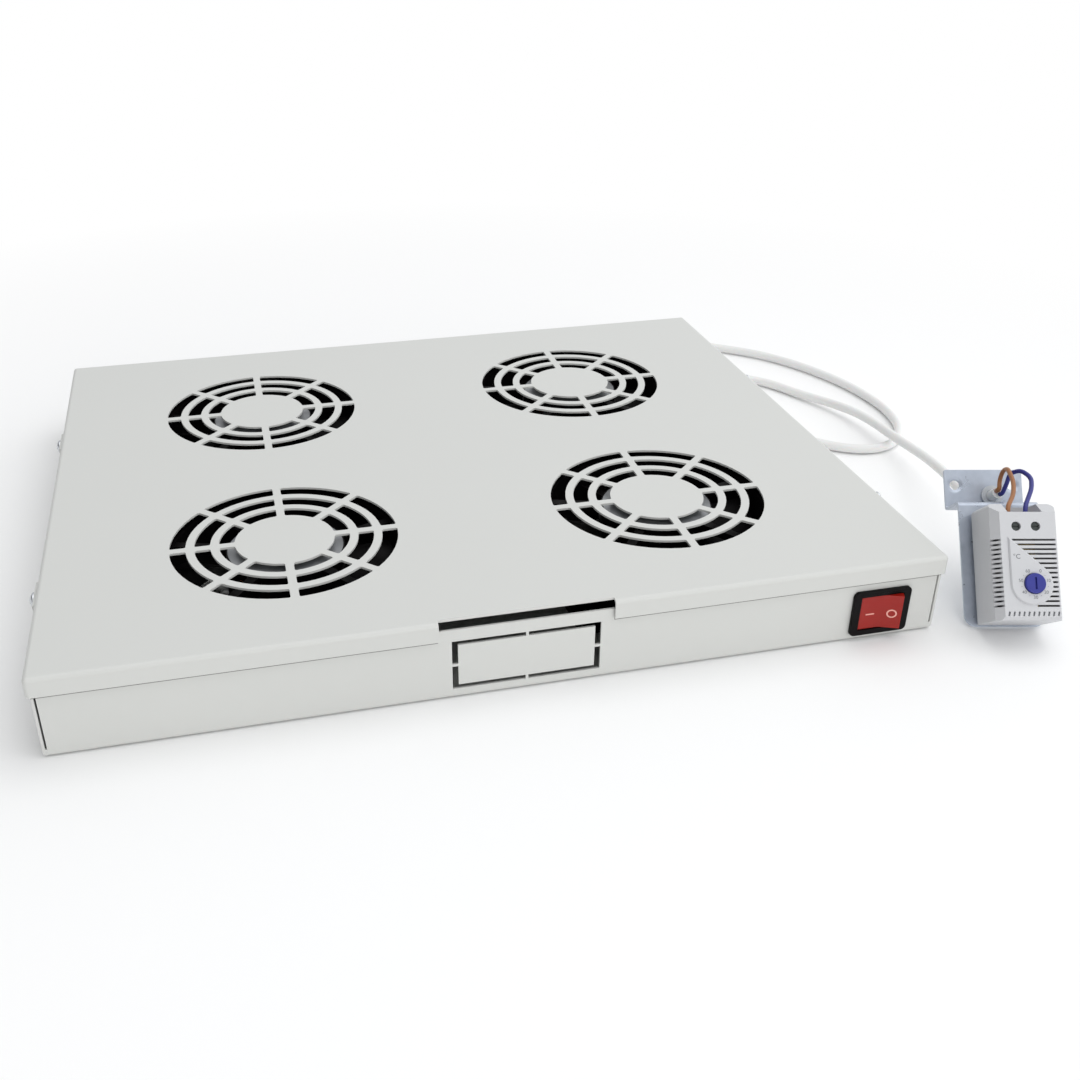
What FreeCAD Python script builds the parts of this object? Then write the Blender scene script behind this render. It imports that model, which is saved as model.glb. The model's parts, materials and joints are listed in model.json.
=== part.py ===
import FreeCAD, Part
import math
import os
import re

# Rack fan tray: a flat sheet-metal box with four axial fans, a rocker switch,
# a mains inlet and a thermostat on a bracket at the end of its cord.
# Millimetres and degrees. Origin: centre of the tray's underside.
# +X to the right along the front, +Y to the back, +Z up.

os.makedirs("parts", exist_ok=True)
doc = FreeCAD.newDocument("RackFanTray")
V = FreeCAD.Vector

SIZES = {
    # folded sheet tray and its cover
    "tray_width": 438.0,
    "tray_depth": 368.0,
    "tray_height": 43.5,
    "sheet": 1.2,
    "bend_radius": 2.2,
    "cover_lip": 10.0,
    "cover_gap": 0.6,
    "rim_gap": 0.1,
    "front_wall_drop": 4.1,
    "corner_slit": 0.9,
    "corner_relief": 4.2,
    # cable entry: a notch in the cover over a knock-out in the front wall
    "entry_offset": 3.0,
    "notch_width": 84.3,
    "notch_depth": 3.2,
    "knockout_width": 72.0,
    "knockout_height": 26.6,
    "knockout_middle": 18.5,
    "knockout_slot": 2.9,
    "knockout_slot_level": 2.2,
    "knockout_bridge": 1.3,
    # cover screws in the side lips
    "cover_screw_back": 68.0,
    "cover_screw_front": -109.0,
    "cover_screw_drop": 6.0,
    "pad_length": 22.0,
    "pad_height": 7.0,
    "pad_proud": 1.2,
    "machine_screw_radius": 1.95,
    "screw_clearance": 0.15,
    "pan_head_radius": 4.0,
    "pan_head_height": 2.6,
    "cover_screw_length": 8.0,
    "nut_height": 3.2,
    "nut_width": 7.0,
    "thread_fit": 0.05,
    # punched grilles over and under each fan
    "grille_across": 200.0,
    "grille_along": 168.0,
    "grille_shift": -3.5,
    "grille_disc": 25.2,
    "slot_one_outer": 33.0,
    "slot_two_inner": 37.3,
    "slot_two_outer": 45.2,
    "slot_three_inner": 49.5,
    "grille_radius": 57.5,
    "grille_spoke": 4.2,
    "slot_corner": 1.0,
    # axial fan
    "fan_width": 120.0,
    "fan_depth": 38.0,
    "fan_flange": 5.0,
    "fan_corner": 6.0,
    "fan_bore": 57.6,
    "fan_tube": 59.6,
    "fan_hole_pitch": 105.0,
    "hub_radius": 30.0,
    "hub_height": 6.0,
    "hub_inset": 0.5,
    "label_radius": 29.3,
    "label_thickness": 0.2,
    "strut_count": 5.0,
    "strut_width": 5.0,
    "strut_height": 4.0,
    "bearing_radius": 6.0,
    "bearing_bottom": 12.0,
    "shaft_radius": 2.5,
    "running_clearance": 0.05,
    "rotor_radius": 31.0,
    "rotor_wall": 2.5,
    "rotor_bottom": 3.0,
    "rotor_top": 29.5,
    "blade_count": 7.0,
    "blade_tip_gap": 1.0,
    "blade_chord_root": 29.0,
    "blade_chord_tip": 37.0,
    "blade_pitch_root": 50.0,
    "blade_pitch_tip": 33.0,
    "blade_thickness": 1.9,
    "blade_camber": 2.6,
    "stator_radius": 25.0,
    "stator_stack": 9.0,
    "winding_radius": 22.0,
    "winding_height": 14.0,
    "stator_gap": 2.5,
    "stud_head_radius": 3.0,
    "stud_head_height": 0.7,
    # rocker switch
    "switch_offset": 185.5,
    "switch_middle": 16.0,
    "bezel_width": 31.0,
    "bezel_height": 25.4,
    "bezel_thickness": 2.0,
    "bezel_corner": 2.6,
    "switch_body_width": 27.0,
    "switch_body_height": 21.8,
    "switch_body_depth": 20.0,
    "cutout_clearance": 0.2,
    "rocker_radius": 11.2,
    "rocker_height": 18.9,
    "rocker_clearance": 0.2,
    "rocker_throw": 22.0,
    "rocker_face": 1.5,
    "rocker_recess": 0.8,
    "rocker_back": 5.0,
    "rocker_pin": 1.2,
    "rocker_pin_length": 0.8,
    "cavity_depth": 12.0,
    "tab_width": 4.8,
    "tab_thickness": 0.8,
    "tab_length": 8.0,
    "switch_tab_across": 14.0,
    "switch_tab_up": 11.0,
    # mains inlet
    "inlet_offset": 108.0,
    "inlet_middle": 19.0,
    "inlet_flange_width": 50.0,
    "inlet_flange_height": 22.6,
    "inlet_flange_thickness": 3.0,
    "inlet_corner": 5.0,
    "inlet_body_width": 27.4,
    "inlet_body_height": 20.0,
    "inlet_body_depth": 17.0,
    "inlet_socket_width": 24.4,
    "inlet_socket_height": 16.6,
    "inlet_socket_depth": 16.5,
    "inlet_screw_pitch": 40.0,
    "inlet_screw_radius": 1.45,
    "inlet_head_radius": 2.9,
    "inlet_head_height": 1.7,
    "inlet_screw_length": 8.0,
    "inlet_nut_height": 2.4,
    "inlet_nut_width": 5.5,
    "inlet_pin_width": 4.0,
    "inlet_pin_thickness": 2.0,
    "inlet_pin_length": 14.0,
    "inlet_pin_pitch": 7.0,
    "inlet_earth_rise": 4.0,
    # terminal block and wiring inside the tray
    "block_offset": 193.0,
    "block_width": 18.0,
    "block_length": 58.0,
    "block_height": 15.0,
    "block_pole_pitch": 9.0,
    "block_poles": 6.0,
    "block_bore": 1.5,
    "block_screw_radius": 1.7,
    "block_screw_well": 2.0,
    "lead_radius": 0.9,
    "lead_spacing": 3.4,
    "core_radius": 1.15,
    # cord gland in the back wall
    "gland_offset": 176.0,
    "gland_middle": 19.0,
    "gland_flange_radius": 10.0,
    "gland_flange_thickness": 5.0,
    "gland_thread_radius": 7.9,
    "gland_thread_length": 9.0,
    "gland_dome_radius": 7.6,
    "gland_tip_radius": 5.0,
    "gland_dome_length": 13.0,
    "gland_nut_width": 20.0,
    "gland_nut_height": 4.0,
    "cord_radius": 3.0,
    "cord_clearance": 0.1,
    # thermostat bracket, modelled upright and then leaned back
    "stand_across": 254.7,
    "stand_along": -191.5,
    "stand_turn": -13.8,
    "stand_lean": -38.4,
    "plate_width": 41.6,
    "plate_height": 65.5,
    "plate_thickness": 1.5,
    "plate_corner": 6.0,
    "shelf_depth": 19.6,
    "flag_height": 20.8,
    "flag_corner": 1.2,
    "bracket_bend": 2.4,
    "flag_hole_across": 30.4,
    "flag_hole_rise": 12.5,
    "flag_hole_radius": 2.6,
    "dimple_radius": 4.6,
    "dimple_depth": 0.6,
    "bush_across": 4.0,
    "bush_rise": 6.4,
    "bush_radius": 4.4,
    "bush_flange_radius": 5.6,
    "bush_flange_thickness": 1.2,
    "bush_length": 3.0,
    "sheath_length": 8.0,
    # thermostat
    "case_width": 32.5,
    "case_height": 59.0,
    "case_depth": 28.0,
    "case_back_depth": 9.0,
    "case_shift": 0.6,
    "case_rise": 0.7,
    "case_wall": 1.6,
    "case_foot": 2.4,
    "case_foot_radius": 4.0,
    "case_screw_pitch": 36.0,
    "case_chamfer_across": 3.4,
    "case_chamfer_depth": 4.2,
    "case_bottom_chamfer": 1.6,
    "case_edge": 2.6,
    "brow_height": 5.2,
    "brow_depth": 7.0,
    "case_right_slope": 1.5,
    "well_left": 7.6,
    "well_right": 24.7,
    "well_depth": 14.0,
    "well_lip": 2.6,
    "well_floor": 52.4,
    "terminal_first": 11.4,
    "terminal_pitch": 9.6,
    "terminal_height": 46.6,
    "terminal_screw_radius": 2.1,
    "terminal_well_radius": 2.35,
    "terminal_recess": 1.2,
    "terminal_screw_length": 7.0,
    "terminal_screw_thread": 1.45,
    "clamp_width": 8.0,
    "clamp_height": 8.0,
    "clamp_depth": 8.0,
    "clamp_gap": 0.3,
    "wire_deep": 6.6,
    "wire_end": 49.4,
    "wire_shift": 0.9,
    "vent_count": 15.0,
    "vent_pitch": 2.343,
    "vent_first": 7.0,
    "vent_height": 1.0,
    "vent_right": 30.4,
    "side_vent_length": 5.0,
    "side_vent_reach": 3.4,
    "bottom_vent_count": 11.0,
    "bottom_vent_pitch": 2.42,
    "bottom_vent_first": 5.0,
    "bottom_vent_width": 0.9,
    "bottom_vent_height": 2.3,
    "bottom_vent_up": 1.9,
    "bottom_vent_depth": 1.4,
    "bottom_vent_tilt": 14.0,
    "panel_left": 6.9,
    "panel_top": 41.2,
    "panel_radius": 10.3,
    "panel_proud": 0.9,
    "panel_margin": 0.35,
    "panel_across": 17.2,
    "panel_up": 17.7,
    "panel_edge": 0.6,
    "vent_low_start": 2.2,
    "dial_across": 18.4,
    "dial_up": 17.9,
    "dial_radius": 5.05,
    "dial_proud": 1.5,
    "dial_recess": 1.2,
    "dial_clearance": 0.25,
    "dial_shaft_radius": 2.0,
    "dial_slot_width": 1.0,
    "dial_slot_length": 6.0,
    "dial_slot_depth": 0.9,
    "cam_radius": 4.2,
    "cam_thickness": 2.4,
    "bimetal_width": 9.0,
    "bimetal_thickness": 0.7,
    "bimetal_length": 34.0,
}

sheet = doc.addObject("Spreadsheet::Sheet", "Sizes")
for row, (alias, number) in enumerate(SIZES.items(), start=1):
    sheet.set(f"A{row}", alias)
    sheet.set(f"B{row}", str(number))
    sheet.setAlias(f"B{row}", alias)
doc.recompute()

NODES = []


def size(alias):
    """A sheet value as a number."""
    return float(getattr(sheet, alias))


def bind(obj, prop, formula):
    """Tie a property to a formula written with the sheet's aliases."""
    text = re.sub(r"[a-z]+(?:_[a-z]+)*", lambda word: "Sizes." + word.group(0)
                  if word.group(0) in SIZES else word.group(0), formula)
    obj.setExpression(prop, text)


def place(obj, at):
    for axis, formula in zip("xyz", at):
        bind(obj, f"Placement.Base.{axis}", formula)


def block(name, extent, at):
    """A box from its lowest corner."""
    box = doc.addObject("Part::Box", name)
    for prop, formula in zip(("Length", "Width", "Height"), extent):
        bind(box, prop, formula)
    place(box, at)
    return box


AXES = {
    "X": FreeCAD.Rotation(V(0, 1, 0), 90),
    "-X": FreeCAD.Rotation(V(0, 1, 0), -90),
    "Y": FreeCAD.Rotation(V(1, 0, 0), -90),
    "-Y": FreeCAD.Rotation(V(1, 0, 0), 90),
    "Z": FreeCAD.Rotation(),
    "-Z": FreeCAD.Rotation(V(1, 0, 0), 180),
}


def rod(name, radius, length, at, axis="Z"):
    """A cylinder from the middle of its first end."""
    cylinder = doc.addObject("Part::Cylinder", name)
    bind(cylinder, "Radius", radius)
    bind(cylinder, "Height", length)
    cylinder.Placement = FreeCAD.Placement(V(), AXES[axis])
    place(cylinder, at)
    return cylinder


def taper(name, first, last, length, at, axis="Z"):
    """A cone from the middle of its first end."""
    cone = doc.addObject("Part::Cone", name)
    bind(cone, "Radius1", first)
    bind(cone, "Radius2", last)
    bind(cone, "Height", length)
    cone.Placement = FreeCAD.Placement(V(), AXES[axis])
    place(cone, at)
    return cone


def hexagon(name, across, height, at, axis="Z"):
    prism = doc.addObject("Part::Prism", name)
    prism.Polygon = 6
    bind(prism, "Circumradius", f"({across}) / sqrt(3)")
    bind(prism, "Height", height)
    prism.Placement = FreeCAD.Placement(V(), AXES[axis])
    place(prism, at)
    return prism


def fuse(name, pieces):
    joined = doc.addObject("Part::MultiFuse", name)
    joined.Shapes = pieces
    joined.Refine = True
    return joined


def cut(name, base, *tools):
    tool = tools[0] if len(tools) == 1 else group(name + "Tools", tools)
    result = doc.addObject("Part::Cut", name)
    result.Base = base
    result.Tool = tool
    result.Refine = True
    return result


def common(name, first, second):
    result = doc.addObject("Part::Common", name)
    result.Base = first
    result.Tool = second
    return result


def group(name, pieces):
    """Separate solids kept side by side."""
    compound = doc.addObject("Part::Compound", name)
    compound.Links = list(pieces)
    return compound


def copy_at(name, master, at, axis="Z"):
    """The master's solid again at another place."""
    twin = doc.addObject("Part::Compound", name)
    twin.Links = [master]
    twin.Placement = FreeCAD.Placement(V(), AXES[axis])
    place(twin, at)
    return twin


def rounded(name, base, radius, picked):
    """Round the base's edges that picked() accepts, from their direction and middle."""
    doc.recompute()
    edges = []
    for number, edge in enumerate(base.Shape.Edges, start=1):
        direction = edge.tangentAt(edge.FirstParameter)
        box = edge.BoundBox
        if picked(direction, box):
            edges.append((number, radius, radius))
    fillet = doc.addObject("Part::Fillet", name)
    fillet.Base = base
    fillet.Edges = edges
    return fillet


def along_x(direction, box):
    return abs(direction.x) > 0.99 and box.YLength < 0.01 and box.ZLength < 0.01


def along_y(direction, box):
    return abs(direction.y) > 0.99 and box.XLength < 0.01 and box.ZLength < 0.01


def along_z(direction, box):
    return abs(direction.z) > 0.99 and box.XLength < 0.01 and box.YLength < 0.01


def node(label, obj, placement=None):
    """Name a finished piece and keep it for the export."""
    obj.Label = label
    if placement is not None:
        obj.Placement = placement
    NODES.append(obj)
    return obj


def solid(name, shape):
    """A piece whose form is worked out here from the sheet."""
    feature = doc.addObject("Part::Feature", name)
    feature.Shape = shape
    return feature


def tube_along(points, radius, said=None):
    """A round tube of straight runs joined by tangent arcs, each arc as large as its runs allow."""
    share = 0.45
    edges = []
    start = points[0]
    radii = []
    for before, corner, after in zip(points, points[1:], points[2:]):
        back = before - corner
        ahead = after - corner
        turn = math.pi - back.getAngle(ahead)
        reach = share * min(back.Length, ahead.Length)
        radii.append(reach / math.tan(turn / 2))
        back.normalize()
        ahead.normalize()
        first = corner + back * reach
        last = corner + ahead * reach
        middle_way = back + ahead
        middle_way.normalize()
        to_centre = radii[-1] / math.cos(turn / 2)
        middle = corner + middle_way * (to_centre - radii[-1])
        edges.append(Part.LineSegment(start, first).toShape())
        edges.append(Part.Arc(first, middle, last).toShape())
        start = last
    edges.append(Part.LineSegment(start, points[-1]).toShape())
    path = Part.Wire(edges)
    ring = Part.Wire([Part.Circle(points[0], points[1] - points[0], radius).toShape()])
    tube = path.makePipeShell([ring], True, False)
    if said:
        expected = math.pi * radius ** 2 * path.Length
        print(said, "radii", [round(r, 1) for r in radii])
        print(said, "length", round(path.Length, 1), "volume ratio", round(tube.Volume / expected, 4))
    return tube


# ---------------------------------------------------------------- tray and cover

def grille_cutters():
    """One tall cutter per fan: three rings of slots between eight spokes."""
    tall = "tray_height + 2"
    rings = []
    for ring, (inner, outer) in enumerate((("grille_disc", "slot_one_outer"),
                                           ("slot_two_inner", "slot_two_outer"),
                                           ("slot_three_inner", "grille_radius"))):
        wide = rod(f"SlotOuter{ring}", outer, tall, ("0", "0", "-1"))
        hole = rod(f"SlotInner{ring}", inner, tall, ("0", "0", "-1"))
        rings.append(cut(f"SlotRing{ring}", wide, hole))
    spokes = []
    for turn in range(4):
        bar = block(f"Spoke{turn}", ("grille_radius * 2 + 2", "grille_spoke", tall), ("0", "0", "-1"))
        holder = group(f"SpokeHolder{turn}", [bar])
        place(bar, ("-grille_radius - 1", "-grille_spoke / 2", "-1"))
        holder.Placement = FreeCAD.Placement(V(), FreeCAD.Rotation(V(0, 0, 1), 45 * turn))
        spokes.append(holder)
    slots = cut("GrilleSlots", fuse("GrilleRings", rings), *spokes)
    soft = rounded("GrilleSoft", slots, size("slot_corner"), along_z)
    return [copy_at(f"Grille{place_name}", soft, at + ("0",)) for place_name, at in FAN_PLACES.items()]


FAN_PLACES = {
    "front_left": ("-grille_across / 2", "grille_shift - grille_along / 2"),
    "front_right": ("grille_across / 2", "grille_shift - grille_along / 2"),
    "back_left": ("-grille_across / 2", "grille_shift + grille_along / 2"),
    "back_right": ("grille_across / 2", "grille_shift + grille_along / 2"),
}
STUD_SIGNS = ((-1, -1), (1, -1), (-1, 1), (1, 1))
COVER_SCREWS = {
    "LeftBack": ("-1", "cover_screw_back", "-X"),
    "LeftFront": ("-1", "cover_screw_front", "-X"),
    "RightBack": ("1", "cover_screw_back", "X"),
    "RightFront": ("1", "cover_screw_front", "X"),
}
COVER_SCREW_Z = "tray_height - cover_screw_drop"
WALL_X = "tray_width / 2 - sheet - cover_gap"
WALL_Y = "tray_depth / 2 - sheet - cover_gap"


def top_cover(grilles):
    """Shallow lid with a lip all round, screw pads in the side lips and the notch at the front."""
    outer = block("CoverOuter", ("tray_width", "tray_depth", "cover_lip"),
                  ("-tray_width / 2", "-tray_depth / 2", "tray_height - cover_lip"))
    top = size("tray_height")
    outer = rounded("CoverBent", outer, size("bend_radius"),
                    lambda way, box: along_z(way, box) or abs(box.ZMin - top) < 0.01)
    inner = block("CoverInner", ("tray_width - 2 * sheet", "tray_depth - 2 * sheet", "cover_lip - sheet + 1"),
                  ("-tray_width / 2 + sheet", "-tray_depth / 2 + sheet", "tray_height - cover_lip - 1"))
    under = top - size("sheet")
    inner = rounded("CoverInnerBent", inner, size("bend_radius") - size("sheet"),
                    lambda way, box: along_z(way, box) or abs(box.ZMin - under) < 0.01)
    shell = cut("CoverShell", outer, inner)
    pads = []
    holes = []
    for name, (side, along, axis) in COVER_SCREWS.items():
        pads.append(block(f"Pad{name}", ("pad_proud + sheet / 2", "pad_length", "pad_height"),
                          (f"{side} * (tray_width / 2 + pad_proud / 2 - sheet / 4) - (pad_proud + sheet / 2) / 2",
                           f"{along} - pad_length / 2", f"{COVER_SCREW_Z} - pad_height / 2")))
        holes.append(rod(f"PadHole{name}", "machine_screw_radius + screw_clearance", "20",
                         (f"{side} * (tray_width / 2 - 10)", along, COVER_SCREW_Z), axis))
    notch = block("Notch", ("notch_width", "notch_depth + 1", "cover_lip + 2"),
                  ("entry_offset - notch_width / 2", "-tray_depth / 2 - 1", "tray_height - cover_lip - 1"))
    body = fuse("CoverBody", [shell] + pads)
    node("top_cover", cut("TopCover", body, notch, *holes, *grilles))


def base_tray(grilles):
    """Folded tray: floor and four walls with open corners, and every cut-out."""
    outer = block("TrayOuter", (f"2 * ({WALL_X})", f"2 * ({WALL_Y})", "tray_height - sheet - rim_gap"),
                  (f"-({WALL_X})", f"-({WALL_Y})", "0"))
    outer = rounded("TrayBent", outer, size("bend_radius"), lambda way, box: box.ZMax < 0.01)
    inner = block("TrayInner", (f"2 * ({WALL_X} - sheet)", f"2 * ({WALL_Y} - sheet)", "tray_height"),
                  (f"-({WALL_X} - sheet)", f"-({WALL_Y} - sheet)", "sheet"))
    floor = size("sheet")
    inner = rounded("TrayInnerBent", inner, size("bend_radius") - size("sheet"),
                    lambda way, box: box.ZMax < floor + 0.01)
    shell = cut("TrayShell", outer, inner)
    tools = []
    for end, low in (("Front", f"-({WALL_Y}) - 1"), ("Back", f"{WALL_Y} - sheet - 1")):
        tools.append(block(f"WallDrop{end}", (f"2 * ({WALL_X} - sheet)", "sheet + 2", "tray_height"),
                           (f"-({WALL_X} - sheet)", low, "tray_height - sheet - front_wall_drop")))
        for side, left in (("Left", f"-({WALL_X} - sheet)"), ("Right", f"{WALL_X} - sheet - corner_slit")):
            tools.append(block(f"Slit{end}{side}", ("corner_slit", "sheet + 2", "tray_height"),
                               (left, low, "corner_relief")))
    tools += [knockout_slots(), switch_cutout(), inlet_cutout(), gland_hole()]
    for name, (side, along, axis) in COVER_SCREWS.items():
        tools.append(rod(f"WallHole{name}", "machine_screw_radius + screw_clearance", "20",
                         (f"{side} * (tray_width / 2 - 10)", along, COVER_SCREW_Z), axis))
    for fan, at in FAN_PLACES.items():
        for corner, (sx, sy) in enumerate(STUD_SIGNS):
            spot = (f"{at[0]} + {sx} * fan_hole_pitch / 2", f"{at[1]} + {sy} * fan_hole_pitch / 2")
            tools.append(rod(f"StudHole{fan}{corner}", "machine_screw_radius + thread_fit", "sheet + 2",
                             spot + ("-1",)))
            tools.append(rod(f"StudSeat{fan}{corner}", "stud_head_radius + thread_fit",
                             "stud_head_height + 1", spot + ("-1",)))
    for spot, hole in enumerate(BLOCK_HOLES):
        tools.append(rod(f"BlockHole{spot}", "machine_screw_radius + thread_fit", "sheet + 2", hole + ("-1",)))
    node("base_tray", cut("BaseTray", shell, *tools, *grilles))


def knockout_slots():
    """Slots round a plate that hangs in the wall by four bridges."""
    deep = "sheet + 2"
    near = f"-({WALL_Y}) - 1"
    outline = block("KnockOutline", ("knockout_width", deep, "knockout_height"),
                    ("entry_offset - knockout_width / 2", near, "knockout_middle - knockout_height / 2"))
    plate = block("KnockPlate", ("knockout_width - 2 * knockout_slot", deep, "knockout_height - 2 * knockout_slot_level"),
                  ("entry_offset - knockout_width / 2 + knockout_slot", near,
                   "knockout_middle - knockout_height / 2 + knockout_slot_level"))
    upright = block("KnockUpright", ("knockout_bridge", deep, "knockout_height + 2"),
                    ("entry_offset - knockout_bridge / 2", near, "knockout_middle - knockout_height / 2 - 1"))
    level = block("KnockLevel", ("knockout_width + 2", deep, "knockout_bridge"),
                  ("entry_offset - knockout_width / 2 - 1", near, "knockout_middle - knockout_bridge / 2"))
    return cut("KnockSlots", outline, plate, upright, level)


def switch_cutout():
    return block("SwitchCutout", ("switch_body_width + 2 * cutout_clearance", "sheet + 2",
                                  "switch_body_height + 2 * cutout_clearance"),
                 ("switch_offset - switch_body_width / 2 - cutout_clearance", f"-({WALL_Y}) - 1",
                  "switch_middle - switch_body_height / 2 - cutout_clearance"))


def inlet_cutout():
    window = block("InletCutout", ("inlet_body_width + 2 * cutout_clearance", "sheet + 2",
                                   "inlet_body_height + 2 * cutout_clearance"),
                   ("inlet_offset - inlet_body_width / 2 - cutout_clearance", f"{WALL_Y} - sheet - 1",
                    "inlet_middle - inlet_body_height / 2 - cutout_clearance"))
    holes = [rod(f"InletScrewHole{sign}", "inlet_screw_radius + screw_clearance", "sheet + 2",
                 (f"inlet_offset + {sign} * inlet_screw_pitch / 2", f"{WALL_Y} - sheet - 1", "inlet_middle"), "Y")
             for sign in (-1, 1)]
    return group("InletOpenings", [window] + holes)


def gland_hole():
    return rod("GlandHole", "gland_thread_radius + cutout_clearance", "sheet + 2",
               ("gland_offset", f"{WALL_Y} - sheet - 1", "gland_middle"), "Y")


# ---------------------------------------------------------------- fasteners

def pan_screw(name, radius, length, head_radius, head_height):
    """Pan head standing on z = 0 with a cross recess, shank downwards."""
    blank = rod(f"{name}Head", head_radius, head_height, ("0", "0", "0"))
    ball = doc.addObject("Part::Sphere", f"{name}Dome")
    bind(ball, "Radius", f"({head_radius}) * 1.35")
    place(ball, ("0", "0", f"({head_height}) - ({head_radius}) * 1.35"))
    head = common(f"{name}Pan", blank, ball)
    shank = rod(f"{name}Shank", radius, f"{length} + 0.5", ("0", "0", f"-({length})"))
    recess = [block(f"{name}Recess{way}", extent, at) for way, extent, at in (
        ("Across", (f"({head_radius}) * 1.1", f"({head_radius}) * 0.22", head_height),
         (f"-({head_radius}) * 0.55", f"-({head_radius}) * 0.11", f"({head_height}) * 0.45")),
        ("Along", (f"({head_radius}) * 0.22", f"({head_radius}) * 1.1", head_height),
         (f"-({head_radius}) * 0.11", f"-({head_radius}) * 0.55", f"({head_height}) * 0.45")))]
    return cut(f"{name}Master", fuse(f"{name}Blank", [head, shank]), *recess)


def hex_nut(name, across, height, bore):
    """Nut standing on z = 0 with its hole along Z."""
    prism = hexagon(f"{name}Prism", across, height, ("0", "0", "0"))
    hole = rod(f"{name}Bore", bore, f"{height} + 2", ("0", "0", "-1"))
    return cut(f"{name}Master", prism, hole)


def cover_fasteners():
    screw = pan_screw("CoverScrew", "machine_screw_radius", "cover_screw_length", "pan_head_radius",
                      "pan_head_height")
    nut = hex_nut("ClinchNut", "nut_width", "nut_height", "machine_screw_radius + thread_fit")
    screws = []
    nuts = []
    for name, (side, along, axis) in COVER_SCREWS.items():
        screws.append(copy_at(f"Screw{name}", screw,
                              (f"{side} * (tray_width / 2 + pad_proud)", along, COVER_SCREW_Z), axis))
        inward = {"X": "-X", "-X": "X"}[axis]
        nuts.append(copy_at(f"Nut{name}", nut, (f"{side} * ({WALL_X} - sheet)", along, COVER_SCREW_Z), inward))
    node("cover_screws", group("CoverScrews", screws))
    node("cover_nuts", group("CoverNuts", nuts))


def fan_fasteners():
    """Press-in studs, flush under the floor, and the nuts on the fans' lower flanges."""
    head = rod("StudHead", "stud_head_radius", "stud_head_height", ("0", "0", "0"))
    stem = rod("StudStem", "machine_screw_radius", "sheet + fan_flange + nut_height + 1.4", ("0", "0", "0"))
    stud = fuse("StudMaster", [head, stem])
    nut = hex_nut("FanNut", "nut_width", "nut_height", "machine_screw_radius + thread_fit")
    studs = []
    nuts = []
    for fan, at in FAN_PLACES.items():
        for corner, (sx, sy) in enumerate(STUD_SIGNS):
            spot = (f"{at[0]} + {sx} * fan_hole_pitch / 2", f"{at[1]} + {sy} * fan_hole_pitch / 2")
            studs.append(copy_at(f"Stud{fan}{corner}", stud, spot + ("0",)))
            nuts.append(copy_at(f"FanNut{fan}{corner}", nut, spot + ("sheet + fan_flange",)))
    node("fan_studs", group("FanStuds", studs))
    node("fan_nuts", group("FanNuts", nuts))


# ---------------------------------------------------------------- fans

def fan_frame_master():
    """Square flanges on a round duct, with the hub held by struts on the upper side."""
    half = "-fan_width / 2"
    flanges = []
    for name, low in (("Lower", "0"), ("Upper", "fan_depth - fan_flange")):
        plate = block(f"Flange{name}", ("fan_width", "fan_width", "fan_flange"), (half, half, low))
        flanges.append(rounded(f"Flange{name}Soft", plate, size("fan_corner"), along_z))
    duct = rod("Duct", "fan_tube", "fan_depth", ("0", "0", "0"))
    holes = [rod(f"FlangeHole{corner}", "machine_screw_radius + screw_clearance", "fan_depth + 2",
                 (f"{sx} * fan_hole_pitch / 2", f"{sy} * fan_hole_pitch / 2", "-1"))
             for corner, (sx, sy) in enumerate(STUD_SIGNS)]
    pockets = [rod(f"FlangePocket{corner}", "nut_width * 0.75", "fan_depth - 2 * fan_flange",
                   (f"{sx} * fan_hole_pitch / 2", f"{sy} * fan_hole_pitch / 2", "fan_flange"))
               for corner, (sx, sy) in enumerate(STUD_SIGNS)]
    bore = rod("FanBore", "fan_bore", "fan_depth + 2", ("0", "0", "-1"))
    ring = cut("FanRing", fuse("FanShell", flanges + [duct]), bore, *holes, *pockets)
    hub = rod("Hub", "hub_radius", "hub_height", ("0", "0", "fan_depth - hub_inset - hub_height"))
    sleeve = rod("BearingSleeve", "bearing_radius", "fan_depth - hub_inset - 1 - bearing_bottom",
                 ("0", "0", "bearing_bottom"))
    struts = []
    for number in range(int(size("strut_count"))):
        bar = block(f"Strut{number}", ("fan_bore - hub_radius + 3", "strut_width", "strut_height"),
                    ("hub_radius - 2", "-strut_width / 2", "fan_depth - hub_inset - hub_height + 0.8"))
        holder = group(f"StrutHolder{number}", [bar])
        angle = 90 + 360 / size("strut_count") * number
        holder.Placement = FreeCAD.Placement(V(), FreeCAD.Rotation(V(0, 0, 1), angle))
        struts.append(holder)
    bearing = rod("Bearing", "shaft_radius + running_clearance", "fan_depth - hub_inset - 2 - bearing_bottom + 1",
                  ("0", "0", "bearing_bottom - 1"))
    return cut("FanFrameMaster", fuse("FanCast", [ring, hub, sleeve] + struts), bearing)


def stator_master():
    """Iron stack with its windings on the bearing sleeve."""
    low = "rotor_bottom + rotor_wall + stator_gap + 1"
    stack = rod("Stack", "stator_radius", "stator_stack", ("0", "0", f"{low} + (winding_height - stator_stack) / 2"))
    winding = rod("Winding", "winding_radius", "winding_height", ("0", "0", low))
    hole = rod("StatorHole", "bearing_radius + thread_fit", "fan_depth", ("0", "0", "0"))
    return cut("StatorMaster", fuse("StatorBlank", [stack, winding]), hole)


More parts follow.
